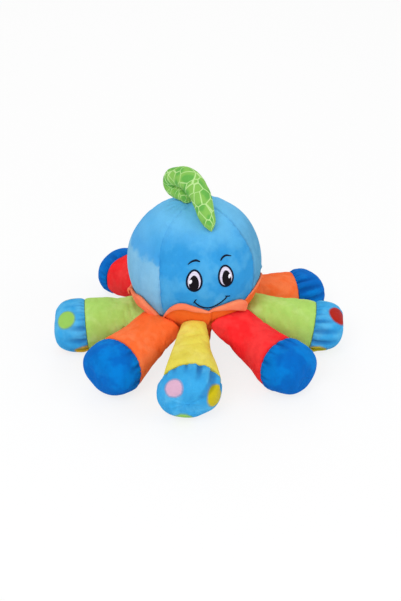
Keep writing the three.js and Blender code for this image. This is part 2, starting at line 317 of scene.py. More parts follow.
def flat_net(name, columns, rows):
    """A flat net of quads from -1 to 1 both ways, with its own UV map, ready to be sculpted."""
    bpy.ops.object.select_all(action="DESELECT")
    bpy.ops.mesh.primitive_grid_add(x_subdivisions=columns, y_subdivisions=rows, size=2)
    return named(name)


def drift(azimuth, latitude):
    """Bends the two face seams a little off their meridians, and the cloth beside them too."""
    left = np.interp(latitude, SEAM_LATITUDES, LEFT_SEAM_DRIFT)
    right = np.interp(latitude, SEAM_LATITUDES, RIGHT_SEAM_DRIFT)
    near_left = np.exp(-((azimuth + FACE_HALF_ANGLE) / DRIFT_REACH) ** 2)
    near_right = np.exp(-((azimuth - FACE_HALF_ANGLE) / DRIFT_REACH) ** 2)
    return azimuth + left * near_left + right * near_right


def head_relief(points):
    """How far the stuffed head stands out of a true ball: lumps, and folds round the curl."""
    root = on_head(HEAD_RADIUS, np.array([CURL_ROOT_AZIMUTH]), np.array([CURL_ROOT_LATITUDE]))[0]
    away = points - root
    far = np.linalg.norm(away, axis=1)
    turn = np.arctan2(away[:, 1], away[:, 0])
    near_root = np.exp(-((far - CROWN_FOLD_REACH) / CROWN_FOLD_REACH) ** 2)
    folds = np.sin(CROWN_FOLDS * turn + 2.5 * np.sin(2 * turn)) * near_root
    dimple = np.exp(-(far / DIMPLE_RADIUS) ** 2)
    aim = (points - HEAD_MIDDLE) / HEAD_RADIUS
    bulge = 0
    for azimuth, latitude, rise in HEAD_BULGES:
        towards = on_head(1.0, np.array([azimuth]), np.array([latitude]))[0] - HEAD_MIDDLE
        bulge = bulge + rise * np.exp((aim @ towards - 1) / BULGE_SPREAD)
    lump = HEAD_LUMP * lumps(points, HEAD_LUMP_SIZE)
    return lump + CROWN_FOLD_DEPTH * folds - DIMPLE_DEPTH * dimple + bulge


# How fine each layer of the velour is, as noise scales, and the tint of the shade in its pile.
VELOUR_PATCHES = 30
VELOUR_STROKES = 105
VELOUR_CLOUDS = 64
VELOUR_TUFTS = 430
VELOUR_PILE = 1500
VELOUR_SHADE = (0.72, 0.72, 0.72)


def velour(name, main, brushed, deep, seed=0.0, own=None):
    """Short-pile velour: brushed patches and strokes, tufts, a fine pile, and painted shade in folds.

    own takes the finish, the place and the colour so far, and gives back a changed colour."""
    finish = Finish(name, 0.9, 0.22, brushed)
    place = finish.node("ShaderNodeMapping", {}, {0: finish.place(), 1: (seed, seed, seed)})
    patches = finish.noise(VELOUR_PATCHES, 3, place, None, 0.62).above(0.44, 0.62)
    strokes = finish.noise(VELOUR_STROKES, 3, place, (1.0, 1.0, 0.5)).above(0.38, 0.7)
    tufts = finish.noise(VELOUR_TUFTS, 2, place)
    fine = finish.noise(VELOUR_PILE, 2, place)
    cloth = finish.mix(patches * 0.6, main, brushed)
    cloth = finish.mix(strokes * 0.22, cloth, deep)
    if own:
        cloth = own(finish, place, cloth)
    clouds = finish.noise(VELOUR_CLOUDS, 2, place).above(0.35, 0.65)
    cloth = finish.mix(clouds * 0.14, cloth, VELOUR_SHADE, "MULTIPLY")
    pile = (0.5 - tufts).above(0.0, 0.3) * 0.16 + (0.5 - fine).above(0.0, 0.25) * 0.3
    cloth = finish.mix(pile, cloth, VELOUR_SHADE, "MULTIPLY")
    # Painted shade: the marks on each piece darken its colour in folds, seams and hollows.
    folds = finish.node("ShaderNodeAttribute", {"attribute_name": "paint_crease_shade"}, (), "Fac")
    shade = tuple(0.3 + 0.5 * c for c in deep)
    finish.colour(finish.mix(folds * 0.8, cloth, shade, "MULTIPLY"))
    finish.bump(fine * 0.6 + tufts * 0.5 + strokes * 0.5, 0.0007, 0.6)
    return finish


def add_gore(name, middle, half_angle, finish, node):
    """One gore of the head: half_angle is half of its width at the equator, in degrees."""
    gore = flat_net(name, GORE_COLUMNS, GORE_ROWS)

    def drape(p):
        across = np.sin(p[:, 0] * math.pi / 2)
        latitude = NECK_LATITUDE + (90 - NECK_LATITUDE) * (p[:, 1] + 1) / 2
        azimuth = middle + across * half_angle
        ring = HEAD_RADIUS * np.cos(np.radians(latitude))
        to_seam = (1 - np.abs(across)) * math.radians(half_angle) * ring
        along = np.radians(latitude) * HEAD_RADIUS
        own_seam = np.sign(across) * 7 + middle
        stitches = np.stack([along / STITCH_LENGTH, own_seam, np.zeros_like(along)], axis=1)
        pucker = lumps(stitches, 1.0) * np.exp(-to_seam / PUCKER_REACH)
        azimuth = drift(azimuth, latitude)
        groove = np.exp(-((to_seam / SEAM_WIDTH) ** 2))
        roll = ROLL_RISE * np.exp(-(((to_seam - ROLL_FROM_SEAM) / ROLL_WIDTH) ** 2))
        ball = on_head(HEAD_RADIUS, azimuth, latitude)
        tuck = sum(
            np.exp(-(((azimuth - a) / TUCK_WIDTH) ** 2) - ((latitude - b) / TUCK_LENGTH) ** 2)
            for a, b in SIDE_TUCKS
        )
        flush = np.where(azimuth < 0, np.clip((latitude - FADE_START) / FADE_SPAN, 0, 1), 0)
        groove = groove * (1 - 0.85 * flush)
        radius = HEAD_RADIUS + head_relief(ball) - SEAM_DEPTH * groove + roll + PUCKER_DEPTH * pucker
        # Painted shade along the seam grooves, in the puckers' hollows and on the tucks. The left
        # seam's shade fades where it lies flush.
        dark = np.where(azimuth < 0, LEFT_SEAM_SHADE * (1 - 0.9 * flush), RIGHT_SEAM_SHADE)
        paint_crease_shade(gore, groove * dark - 0.35 * pucker + 0.4 * np.abs(tuck))
        return on_head(radius + TUCK_RISE * tuck, azimuth, latitude)

    sculpt(gore, drape)
    close_up(gore)
    modify(gore, "SOLIDIFY", thickness=CLOTH, offset=-1, use_even_offset=False)
    finish.on(gore)
    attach(gore, "root")
    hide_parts(node)


# Where the head's colour changes: the crown's painted sheen, the paler chin, the left gore's nap line
# with its band of painted shadow, and the face seam. Each pair is where a soft border starts and ends.
CROWN_BORDER = (0.170, 0.202)
CHIN_BORDER = (0.082, 0.108)
NAP_BORDER = (0.139, 0.152)
NAP_SHADOW_START = (0.141, 0.148)
NAP_SHADOW_END = (0.152, 0.170)
FACE_SEAM_BORDER = (-0.070, -0.050)
CROWN_PAINTED_SHEEN = dye(114, 196, 244)
CHIN_BLUE = dye(112, 172, 208)
UPPER_BLUE = dye(104, 184, 232)
FACE_BLUE = dye(64, 162, 224)
NAP_SHADOW = dye(58, 154, 224)


def crown_sheen_and_pale_chin(finish, place, cloth):
    """Velour painted paler towards the crown, as painted sheen where light from above grazes the pile,
    and paler under the chin.
    """
    height = finish.node("ShaderNodeSeparateXYZ", {}, [finish.place()], "Z")
    wobble = finish.noise(26, 3, place)
    # Painted sheen: the crown is painted paler.
    crown = (height + wobble * 0.03).above(*CROWN_BORDER)
    cloth = finish.mix(crown * 0.75, cloth, CROWN_PAINTED_SHEEN)
    chin = 1 - (height + wobble * 0.024).above(*CHIN_BORDER)
    return finish.mix(chin * 0.6, cloth, CHIN_BLUE)


def two_naps(finish, place, cloth):
    """The left gore: its lower nap is brushed up and painted pale, as painted sheen. Its upper nap lies
    like the face's, with a band of painted shadow at the line between them.
    """
    height = finish.node("ShaderNodeSeparateXYZ", {}, [finish.place()], "Z")
    wobble = finish.noise(45, 4, place)
    level = height + (wobble - 0.5) * 0.03
    shadow = level.above(*NAP_SHADOW_START) * (1 - level.above(*NAP_SHADOW_END))
    aside = finish.node("ShaderNodeSeparateXYZ", {}, [finish.place()], "X")
    beside_face = (aside + (wobble - 0.5) * 0.02).above(*FACE_SEAM_BORDER)
    upper = level.above(*NAP_BORDER)
    cloth = finish.mix(upper, cloth, UPPER_BLUE)
    cloth = finish.mix(upper * beside_face * 0.85, cloth, FACE_BLUE)
    cloth = finish.mix(shadow * 0.6, cloth, NAP_SHADOW)
    return crown_sheen_and_pale_chin(finish, place, cloth)


def add_head_cover():
    blues = dye(52, 154, 220), dye(90, 180, 231), dye(34, 134, 206)
    front = velour("blue_velour", *blues, own=crown_sheen_and_pale_chin)
    # Painted shade and sheen: the right side gore is painted greyer than the face, on the side away
    # from the main lamp.
    right_side_shade_blues = dye(88, 162, 206), dye(110, 178, 214), dye(70, 144, 190)
    right = velour("blue_velour_right_side_painted_shade", *right_side_shade_blues, seed=9.0, own=crown_sheen_and_pale_chin)
    # Painted sheen: the left side gore's lower nap is painted paler than the face, on the side that the
    # main lamp lights.
    left = velour(
        "blue_velour_brushed_up_painted_sheen", dye(126, 188, 226), dye(140, 198, 232), dye(106, 172, 218),
        seed=3.0, own=two_naps,
    )
    side_middle = FACE_HALF_ANGLE + SIDE_HALF_ANGLE
    add_gore("face_gore", 0, FACE_HALF_ANGLE, front, "face_panel")
    add_gore("right_side_gore", side_middle, SIDE_HALF_ANGLE, right, "right_side_panel")
    add_gore("left_side_gore", -side_middle, SIDE_HALF_ANGLE, left, "left_side_panel")
    add_gore("back_gore", 180, BACK_HALF_ANGLE, front, "back_panel")


add_head_cover()


# Face. Satin-stitch embroidery, worked through the face gore before the head is sewn: white eyes
# with a dark outline, dark pupils with a spark of white, two brows and a smile. The thread stands
# about half a millimetre proud of the pile.

THREAD_RISE = 0.0009
# Spots on the face are azimuth and latitude in degrees. Sizes are width and height.
EYES = {
    "left": dict(
        spot=(-14.8, 12.9), size=(0.0168, 0.0246), lean=-2,
        pupil_spot=(-15.0, 10.9), pupil_size=(0.0112, 0.0182), spark_spot=(-17.9, 12.2),
    ),
    "right": dict(
        spot=(12.9, 13.9), size=(0.0178, 0.0246), lean=4,
        pupil_spot=(13.3, 12.2), pupil_size=(0.0112, 0.0184), spark_spot=(16.0, 13.4),
    ),
}
EYE_EGG = 0.08
OUTLINE_WIDTH = 0.0023
OUTLINE_LIFT = 0.0003
PUPIL_EGG = 0.12
PUPIL_LIFT = 0.0006
SPARK_SIZE = (0.0032, 0.0052)
SPARK_LIFT = 0.0011
SPARK_LEAN = -24
# Each sewn line: its name, the spots that it passes through and its width at each of them.
SEWN_LINES = [
    ("left_brow_stitching", [(-20.8, 26.2), (-17.3, 28.8), (-13.2, 29.8), (-9.4, 28.6)],
     [0.0011, 0.0019, 0.0025, 0.0014]),
    ("right_brow_stitching", [(9.8, 27.4), (12.6, 29.7), (16.6, 30.6), (22.0, 28.9)],
     [0.0013, 0.0021, 0.0021, 0.0011]),
    ("mouth_stitching",
     [(-14.6, -6.6), (-11.6, -9.9), (-7.6, -12.4), (-2.4, -13.6), (3.0, -12.2), (8.0, -9.6),
      (11.4, -7.2), (14.0, -4.2)],
     [0.0017, 0.0018, 0.0018, 0.0017, 0.0017, 0.0017, 0.0017, 0.0017]),
    ("mouth_left_tick", [(-15.3, -8.0), (-14.4, -6.0), (-13.0, -3.8)], [0.0010, 0.0014, 0.0010]),
    ("mouth_right_tick", [(11.6, -4.0), (13.6, -4.9), (16.6, -5.4)], [0.0010, 0.0014, 0.0010]),
]
LINE_COLUMNS = 18
LINE_ROWS = 90
LINE_LIFT = 0.0002
THREADS = 2600.0
THREAD_RUN = 120.0


def thread_finish(name, main, deep, across):
    """Satin stitch: close-laid threads that run along x when across is True, or else along z."""
    finish = Finish(name, 0.5, 0.0, (1, 1, 1), 0.12)
    stretch = (THREADS, THREAD_RUN, THREAD_RUN)
    if across:
        stretch = (THREAD_RUN, THREAD_RUN, THREADS)
    threads = finish.noise(1.0, 2, None, stretch)
    finish.colour(finish.mix(threads.above(0.3, 0.7), deep, main))
    finish.bump(threads, 0.0005, 0.7)
    return finish


def on_face(points, azimuth, latitude, lean=0.0):
    """Carries a shape drawn flat in x and z, with y as its height, onto the face."""
    turn = math.radians(lean)
    x = points[:, 0] * math.cos(turn) - points[:, 2] * math.sin(turn)
    z = points[:, 0] * math.sin(turn) + points[:, 2] * math.cos(turn)
    rise = np.degrees(z / HEAD_RADIUS)
    aside = np.degrees(x / HEAD_RADIUS / math.cos(math.radians(latitude)))
    flat = on_head(HEAD_RADIUS, azimuth + aside, latitude + rise)
    lift = head_relief(flat)
    return on_head(HEAD_RADIUS + lift + points[:, 1], azimuth + aside, latitude + rise)


def add_patch(name, spot, size, lift, finish, lean=0.0, egg=0.0):
    """A domed patch of satin stitch; egg makes it wider below than above."""
    bpy.ops.object.select_all(action="DESELECT")
    bpy.ops.mesh.primitive_uv_sphere_add(segments=64, ring_count=24, radius=0.5)
    patch = named(name)

    def lay(p):
        widen = 1 - egg * p[:, 2] * 2
        height = lift - np.sign(p[:, 1]) * np.abs(2 * p[:, 1]) ** 0.5 * THREAD_RISE / 2
        flat = np.stack([p[:, 0] * size[0] * widen, height, p[:, 2] * size[1]], axis=1)
        return on_face(flat, spot[0], spot[1], lean)

    sculpt(patch, lay)
    close_up(patch)
    return embroider(patch, finish)


def add_ring(name, spot, size, width, lift, finish, lean=0.0, egg=0.0):
    """The outline of an eye: a narrow band of satin stitch."""
    tube = 0.1
    bpy.ops.object.select_all(action="DESELECT")
    bpy.ops.mesh.primitive_torus_add(
        major_segments=96, minor_segments=12, major_radius=0.5, minor_radius=tube
    )
    ring = named(name)

    def lay(p):
        far = np.hypot(p[:, 0], p[:, 1])
        around = p[:, :2] / far[:, None]
        out = (far - 0.5) / tube * width / 2
        widen = 1 - egg * around[:, 1]
        x = around[:, 0] * (size[0] / 2 * widen + out)
        z = around[:, 1] * (size[1] / 2 + out)
        height = lift + p[:, 2] / tube * THREAD_RISE * 0.6
        return on_face(np.stack([x, height, z], axis=1), spot[0], spot[1], lean)

    sculpt(ring, lay)
    close_up(ring)
    return embroider(ring, finish)


def embroider(piece, finish):
    """Gives a piece of thread work its finish, and says that it belongs to the head."""
    finish.on(piece)
    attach(piece, "root")
    return piece


def through(values, shares, at):
    """A smooth curve through values at these shares, read off at the places in at."""
    values, shares = np.asarray(values, float), np.asarray(shares, float)
    slopes = np.gradient(values, shares)
    i = np.clip(np.searchsorted(shares, at) - 1, 0, len(shares) - 2)
    step = shares[i + 1] - shares[i]
    t = (at - shares[i]) / step
    return (
        (2 * t**3 - 3 * t**2 + 1) * values[i] + (t**3 - 2 * t**2 + t) * step * slopes[i]
        + (3 * t**2 - 2 * t**3) * values[i + 1] + (t**3 - t**2) * step * slopes[i + 1]
    )


def add_line(name, spots, widths, finish):
    """A sewn line on the face through these spots, with its width at each of them."""
    line = flat_net(name, LINE_COLUMNS, LINE_ROWS)
    shares = np.linspace(0, 1, len(spots))

    def lay(p):
        s = (p[:, 1] + 1) / 2
        turn = math.pi * p[:, 0]
        ends = np.sqrt(np.clip(1 - np.abs(2 * s - 1) ** 16, 0, 1))
        half = through(widths, shares, s) / 2 * ends
        azimuth, latitude = (through(angles, shares, s) for angles in zip(*spots))
        next_azimuth, next_latitude = (through(angles, shares, s + 0.004) for angles in zip(*spots))
        east = (next_azimuth - azimuth) * np.cos(np.radians(latitude))
        north = next_latitude - latitude
        size = np.hypot(east, north)
        out = np.degrees(half / HEAD_RADIUS) * np.cos(turn)
        azimuth = azimuth - out * north / size / np.cos(np.radians(latitude))
        latitude = latitude + out * east / size
        rise = LINE_LIFT + np.sin(turn) * THREAD_RISE * 0.62 * ends
        lift = head_relief(on_head(HEAD_RADIUS, azimuth, latitude))
        return on_head(HEAD_RADIUS + lift + rise, azimuth, latitude)

    sculpt(line, lay)
    close_up(line)
    return embroider(line, finish)


def add_face():
    white = thread_finish("white_thread", dye(240, 234, 248), dye(204, 192, 222), True)
    spark = thread_finish("white_spark_thread", dye(252, 250, 254), dye(232, 228, 240), True)
    navy = thread_finish("navy_thread", dye(8, 22, 52), dye(2, 8, 26), False)
    black = thread_finish("black_thread", dye(18, 10, 20), dye(4, 2, 6), True)
    for side, eye in EYES.items():
        spot, size, lean = eye["spot"], eye["size"], eye["lean"]
        ball = add_patch(f"{side}_eye_white", spot, size, 0.0, white, lean, EYE_EGG)
        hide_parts(f"{side}_eye")
        add_ring(
            f"{side}_eye_outline", spot, size, OUTLINE_WIDTH, OUTLINE_LIFT, navy, lean, EYE_EGG
        )
        pupil = add_patch(
            f"{side}_eye_pupil", eye["pupil_spot"], eye["pupil_size"], PUPIL_LIFT, black, lean,
            PUPIL_EGG,
        )
        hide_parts(f"{side}_pupil")
        add_patch(
            f"{side}_eye_spark", eye["spark_spot"], SPARK_SIZE, SPARK_LIFT, spark,
            lean + SPARK_LEAN,
        )
    for name, spots, widths in SEWN_LINES:
        line = add_line(name, spots, widths, navy)
        if name.endswith("stitching"):
            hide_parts(name.removesuffix("_stitching"))


add_face()


# Curl. A tube of printed cotton, sewn along its inner side, turned and stuffed, caught in the crown
# by its narrow end. It bends back on itself, comes over the top and lies down the forehead.

CURL_RADIUS = 0.0132
# The path is in head radii from the head's middle, the thickness in shares of CURL_RADIUS.
CURL_PATH = [
    (-0.12, 0.019, 0.984), (-0.124, 0.025, 1.036), (-0.139, 0.048, 1.073), (-0.178, 0.108, 1.094),
    (-0.22, 0.171, 1.101), (-0.267, 0.244, 1.135), (-0.288, 0.275, 1.218), (-0.267, 0.244, 1.303),
    (-0.216, 0.166, 1.343), (-0.153, 0.072, 1.369), (-0.1, -0.013, 1.364), (-0.042, -0.107, 1.311),
    (0.004, -0.235, 1.232), (0.025, -0.369, 1.14), (0.04, -0.497, 1.024), (0.06, -0.592, 0.92),
    (0.082, -0.632, 0.808),
]
CURL_THICKNESS = [
    0.40, 0.50, 0.58, 0.62, 0.66, 0.70, 0.75, 0.81, 0.90, 0.97, 1, 0.98, 0.92, 0.85, 0.74, 0.53, 0.05,
]
CURL_COLUMNS = 56
CURL_ROWS = 220
CURL_LUMP = 0.0006
CURL_LUMP_SIZE = 0.009
CURL_SEAM_DEPTH = 0.0008
CURL_SEAM_SHARE = 0.035
CURL_SOFTNESS = 0.002
WRINKLES = 34
WRINKLE_DEPTH = 0.0010
# The curl rests this far off the head, but its root sits in the crown's dimple.
CURL_CLEARANCE = 0.0019
ROOT_DEPTH = 0.0030
ROOT_END_SHARE = 0.17
ROOT_FADE_SHARE = 0.11
# The printed cloth's girth and length in metres, and how close its cells and threads lie.
PRINT_STRETCH = (0.066, 0.2, 1.0)
PRINT_CELLS = 78.0
PRINT_LINE = (0.05, 0.09)
WEAVE = (2400.0, 2400.0, 1.0)


def printed_cotton():
    """Green cotton with a loose lattice of pale brush lines and darker patches between them."""
    finish = Finish("printed_cotton", 0.8, 0.1, dye(160, 220, 120))
    uv = finish.node("ShaderNodeTexCoord", {}, (), "UV")
    cloth = finish.node("ShaderNodeMapping", {}, {0: uv, 3: PRINT_STRETCH})
    wobble = finish.noise(60, 2, cloth)
    cells = {"Vector": cloth, "Scale": PRINT_CELLS, "Randomness": 0.85}
    edge = finish.node("ShaderNodeTexVoronoi", {"feature": "DISTANCE_TO_EDGE"}, cells)
    patch = finish.noise(55, 1, cloth).above(0.5, 0.6)
    base = finish.mix(patch * 0.8, dye(140, 198, 92), dye(96, 176, 78))
    line = (edge + wobble * 0.07).above(*PRINT_LINE)
    drawn = finish.mix(line, dye(196, 234, 156), base)
    weave = finish.noise(1.0, 1, cloth, WEAVE)
    finish.colour(finish.mix(weave.above(0.35, 0.65) * 0.25, drawn, dye(58, 128, 48)))
    finish.bump(weave, 0.0003, 0.5)
    return finish


def pressed(distance, soft):
    """Distances from a wall, once what would pass through it has been squeezed flat against it."""
    return np.where(distance < soft, soft * np.exp(np.clip(distance - soft, -1, 0) / soft), distance)


def path_frames(points):
    """Two directions square to a path at each of its points, that don't twist along it."""
    ahead = np.gradient(points, axis=0)
    ahead /= np.linalg.norm(ahead, axis=1)[:, None]
    first = np.cross(ahead[0], [0.0, 0.0, 1.0] if abs(ahead[0][2]) < 0.9 else [1.0, 0.0, 0.0])
    sides = [first / np.linalg.norm(first)]
    for step in ahead[1:]:
        side = sides[-1] - step * (sides[-1] @ step)
        sides.append(side / np.linalg.norm(side))
    sides = np.array(sides)
    return sides, np.cross(ahead, sides)


def add_curl():
    curl = flat_net("curl_tube", CURL_COLUMNS, CURL_ROWS)
    shares = np.linspace(0, 1, len(CURL_PATH))
    steps = np.linspace(0, 1, CURL_ROWS + 1)
    middle = np.array(CURL_PATH) * HEAD_RADIUS + HEAD_MIDDLE
    line = np.stack([through(middle[:, k], shares, steps) for k in range(3)], axis=1)
    side, up = path_frames(line)
    thick = CURL_RADIUS * through(CURL_THICKNESS, shares, steps)
    bend = np.gradient(np.gradient(line, axis=0), axis=0)

    def wrap(p):
        s = (p[:, 1] + 1) / 2
        row = np.rint(s * CURL_ROWS).astype(int)
        turn = math.pi * p[:, 0]
        out = side[row] * np.cos(turn)[:, None] + up[row] * np.sin(turn)[:, None]
        ends = np.sqrt(np.clip(1 - np.abs(2 * s - 1) ** 40, 0, 1))
        inner = np.clip((out * bend[row]).sum(axis=1) * 9000, 0, 1)
        wrinkle = np.sin(2 * math.pi * s * WRINKLES + 2 * lumps(out, 0.7)) * inner
        place = line[row] + out * (thick[row] * ends)[:, None]
        swell = WRINKLE_DEPTH * wrinkle + CURL_LUMP * lumps(place, CURL_LUMP_SIZE)
        seam = -CURL_SEAM_DEPTH * np.exp(-((np.abs(p[:, 0]) - 1) / CURL_SEAM_SHARE) ** 2)
        place = place + out * ((swell + seam) * ends)[:, None]
        away = place - HEAD_MIDDLE
        far = np.linalg.norm(away, axis=1)
        # Painted shade in the hollows of the wrinkles on the inside of the bend.
        paint_crease_shade(curl, -wrinkle * 0.5)
        seated = ROOT_DEPTH * np.clip((ROOT_END_SHARE - s) / ROOT_FADE_SHARE, 0, 1)
        outside = HEAD_RADIUS + CURL_CLEARANCE - seated
        kept = outside + pressed(far - outside, CURL_SOFTNESS)
        return HEAD_MIDDLE + away * (kept / far)[:, None]

    sculpt(curl, wrap)
    close_up(curl)
    printed_cotton().on(curl)
    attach(curl, "curl")
    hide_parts("curl_cover", "curl_filling")


add_curl()


# Collar. Eight petals of orange velour with a paler lining, caught side by side in the neck seam.
# Each stands up against the head and rolls outwards at its edge, so that the lining shows as a
# paler rim. The second, third and fifth have flopped over onto the legs.

COLLAR_LATITUDE = -40.0
PETAL_COLUMNS = 48
PETAL_ROWS = 96
PETAL_CLOTH = 0.0019
PETAL_CLEARANCE = 0.0004
PETAL_OVERLAP = 1.06
PETAL_WAVE = 0.0006
PETAL_WAVE_SIZE = 0.012
FLAP_SLOPE = 0.12
HEM = 0.5
TURNED_BACK_HEM = 0.62
TURNED_BACK_PETAL = 2
# Azimuths of the petals' edges. Then for each petal its crest's latitude, its valley's latitude on
# the first side, how pointed its lobe is, how wide it rolls, how far it hangs past the roll, and
# whether it hangs more on its last side.
PETAL_EDGES = [-181.5, -136.5, -89.5, -46.5, -1.5, 34.5, 88.5, 133.5, 178.5]
PETAL_CRESTS = [-14, -25, -16, -8.8, -11.5, -9.3, -12, -12]
PETAL_VALLEYS = [-22, -25, -18, -31.5, -15.8, -19, -22, -20]
PETAL_POWERS = [1, 1, 2, 1.1, 0.6, 0.6, 1, 1]
PETAL_ROLLS = [0.0024, 0.0026, 0.0022, 0.0017, 0.0030, 0.0008, 0.0022, 0.0022]
PETAL_FLAPS = [0.0055, 0.0088, 0.0136, 0.0045, 0.0125, 0.0006, 0.0050, 0.0055]
PETAL_SKEWED = [False, True, False, False, True, False, False, False]


def collar_finish(name, hem):
    """Paler lining up to hem, a share of the way round the petal, and orange velour past it."""
    finish = Finish(name, 0.88, 0.2, dye(255, 150, 110))
    uv = finish.node("ShaderNodeTexCoord", {}, (), "UV")
    down = finish.node("ShaderNodeSeparateXYZ", {}, [uv], "Y")
    lining = 1 - down.above(hem - 0.006, hem)
    fine = finish.noise(VELOUR_PILE, 2)
    patches = finish.noise(60, 3).above(0.4, 0.7)
    outside = finish.mix(patches * 0.5, dye(255, 112, 38), dye(255, 128, 60))
    inside = finish.mix(patches * 0.5, dye(255, 132, 92), dye(255, 152, 112))
    cloth = finish.mix(lining, outside, inside)
    finish.colour(finish.mix((0.5 - fine).above(0.0, 0.22) * 0.25, cloth, dye(236, 84, 24)))
    finish.bump(fine, 0.0006, 0.6)
    return finish


def add_petal(number, finish):
    """One petal: its net runs from the neck seam along the lining, and back along the outside."""
    petal = flat_net(f"collar_petal_{number}", PETAL_COLUMNS, PETAL_ROWS)
    here = number - 1
    first_edge, last_edge = PETAL_EDGES[here], PETAL_EDGES[number]
    first_valley, last_valley = PETAL_VALLEYS[here], PETAL_VALLEYS[number % 8]
    roll = PETAL_ROLLS[here]

    def fold(p):
        across = np.clip((p[:, 0] * PETAL_OVERLAP + 1) / 2, 0, 1)
        lobe = np.sin(math.pi * across) ** PETAL_POWERS[here]
        valley = first_valley + (last_valley - first_valley) * across
        crest = np.radians(valley + (PETAL_CRESTS[here] - valley) * lobe - COLLAR_LATITUDE)
        rise = crest * HEAD_RADIUS - roll * 0.5
        curve = np.sin(math.pi * across) ** 0.7
        if PETAL_SKEWED[here]:
            curve = across ** 0.9 * np.sqrt(1 - across ** 14)
        hang = PETAL_FLAPS[here] * curve
        tight = roll * (0.35 + 0.65 * curve)
        long = rise + math.pi * tight + hang
        side = np.sign(p[:, 1])
        edge = np.abs(p[:, 1])
        at = long * (1 - edge)
        bend = np.clip((at - rise) / tight, 0, math.pi)
        past = np.clip(at - rise - math.pi * tight, 0, None)
        up = np.minimum(at, rise) + tight * np.sin(bend) - past
        out = tight * (1 - np.cos(bend)) + FLAP_SLOPE * past
        lift = np.sin(np.clip(edge / 0.06, 0, 1) * math.pi / 2)
        lift = lift * np.sqrt(np.clip(1 - np.abs(p[:, 0]) ** 14, 0, 1))
        lift = lift * np.sqrt(np.clip((1 - edge) / 0.04, 0, 1))
        offset = side * lift * PETAL_CLOTH / 2
        up = up - offset * np.sin(bend)
        out = out + offset * np.cos(bend)
        over = PETAL_CLOTH * 1.1 * (1 + np.clip((p[:, 0] - 0.80) / 0.14, -1, 1)) / 2
        out = out + over * np.clip(at / 0.006, 0, 1)
        latitude = COLLAR_LATITUDE + np.degrees(up / HEAD_RADIUS)
        azimuth = (first_edge + last_edge + p[:, 0] * (last_edge - first_edge) * PETAL_OVERLAP) / 2
        ball = on_head(HEAD_RADIUS, azimuth, latitude)
        wave = PETAL_WAVE * lumps(ball, PETAL_WAVE_SIZE, number)
        radius = HEAD_RADIUS + PETAL_CLEARANCE + PETAL_CLOTH / 2 + head_relief(ball) + out + wave
        return on_head(radius, azimuth, latitude)

    sculpt(petal, fold)
    close_up(petal)
    finish.on(petal)
    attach(petal, "root")
    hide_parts(f"petal_{number}")


def add_collar():
    finish = collar_finish("orange_collar_velour", HEM)
    turned_back = collar_finish("orange_collar_velour_turned_back", TURNED_BACK_HEM)
    for number in range(1, 9):
        add_petal(number, turned_back if number == TURNED_BACK_PETAL else finish)


add_collar()


# Belly. A bowl of orange velour under the head, drawn in between the eight leg roots, with a flat
# round base that the toy sits on. Stuffed, and sewn to the neck seam all round.

BELLY_COLUMNS = 128
BELLY_ROWS = 90
WAIST_DEPTH = 0.0018
WAIST_HEIGHT = 0.03
WAIST_SPREAD = 0.014
LEG_GAP_ANGLE = 0.39
BELLY_LUMP_SHARE = 0.012
BELLY_LUMP_SIZE = 0.011
# Radius and height, from the middle of the base round to the middle of the top, under the head.
BELLY_OUTLINE = [
    (0.0, 0.0), (0.010, 0.0), (0.0155, 0.0004), (0.0188, 0.0035), (0.0196, 0.0110), (0.0206, 0.0200),
    (0.0245, 0.0290), (0.0340, 0.0390), (0.0480, 0.0475), (0.0585, 0.0550), (0.0622, 0.0606),
    (0.0590, 0.0622), (0.0400, 0.0520), (0.0, 0.0480),
]


def add_belly():
    belly = flat_net("belly_cushion", BELLY_COLUMNS, BELLY_ROWS)
    shares = np.linspace(0, 1, len(BELLY_OUTLINE))
    radii, heights = zip(*BELLY_OUTLINE)
    hinges = [joint["pos_m"] for joint in frame["joints"] if "leg" in joint["name"]]
    directions = [math.atan2(y, x) for x, y, z in hinges]

    def turn_out(p):
        s = (p[:, 1] + 1) / 2
        turn = math.pi * p[:, 0]
        out = np.clip(through(radii, shares, s), 0, None)
        up = np.clip(through(heights, shares, s), 0, None)
        out[(s < 0.001) | (s > 0.999)] = 0
        outside = s < 0.75
        off = [np.abs((turn - leg + math.pi) % (2 * math.pi) - math.pi) for leg in directions]
        from_leg = np.clip(np.min(off, axis=0) / LEG_GAP_ANGLE, 0, 1)
        waist = np.exp(-((up - WAIST_HEIGHT) / WAIST_SPREAD) ** 2) * np.clip(out / 0.02, 0, 1)
        out = out - WAIST_DEPTH * waist * np.cos(from_leg * math.pi) * outside
        place = np.stack([out * np.cos(turn), out * np.sin(turn), up], axis=1)
        soft = (up > 0.002) & outside
        place[:, :2] *= (1 + BELLY_LUMP_SHARE * lumps(place, BELLY_LUMP_SIZE) * soft)[:, None]
        return place

    sculpt(belly, turn_out)
    close_up(belly)
    velour("orange_velour", dye(255, 104, 44), dye(255, 126, 70), dye(236, 78, 22)).on(belly)
    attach(belly, "root")
    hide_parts("belly_cover", "belly_filling")


add_belly()


# Legs. Each is a velour tube that is sewn flat and wide into the neck seam, swells over the top,
# and widens down to the foot. It is stuffed firmly and lies against its neighbours near the root.

SLEEVE_COLUMNS = 64
SLEEVE_ROWS = 50
ROOT_END_OF_NET = 0.08
BODY_OF_NET = 0.86
FOOT_END_OF_NET = 0.06
FOOT_WIDTH = 0.072
FOOT_HEIGHT = 0.0604
TOE_LENGTH = 0.032
HEEL_LENGTH = 0.008
ROOT_START = 0.0018
SEAM_GAP = 0.0003
PETAL_OUTSIDE = 0.0822
PETAL_SOFTNESS = 0.0012
NECK_OUTSIDE = 0.0626
LEG_CLEARANCE = 0.0002
LEG_SOFTNESS = 0.003
FLOOR_SOFTNESS = 0.002
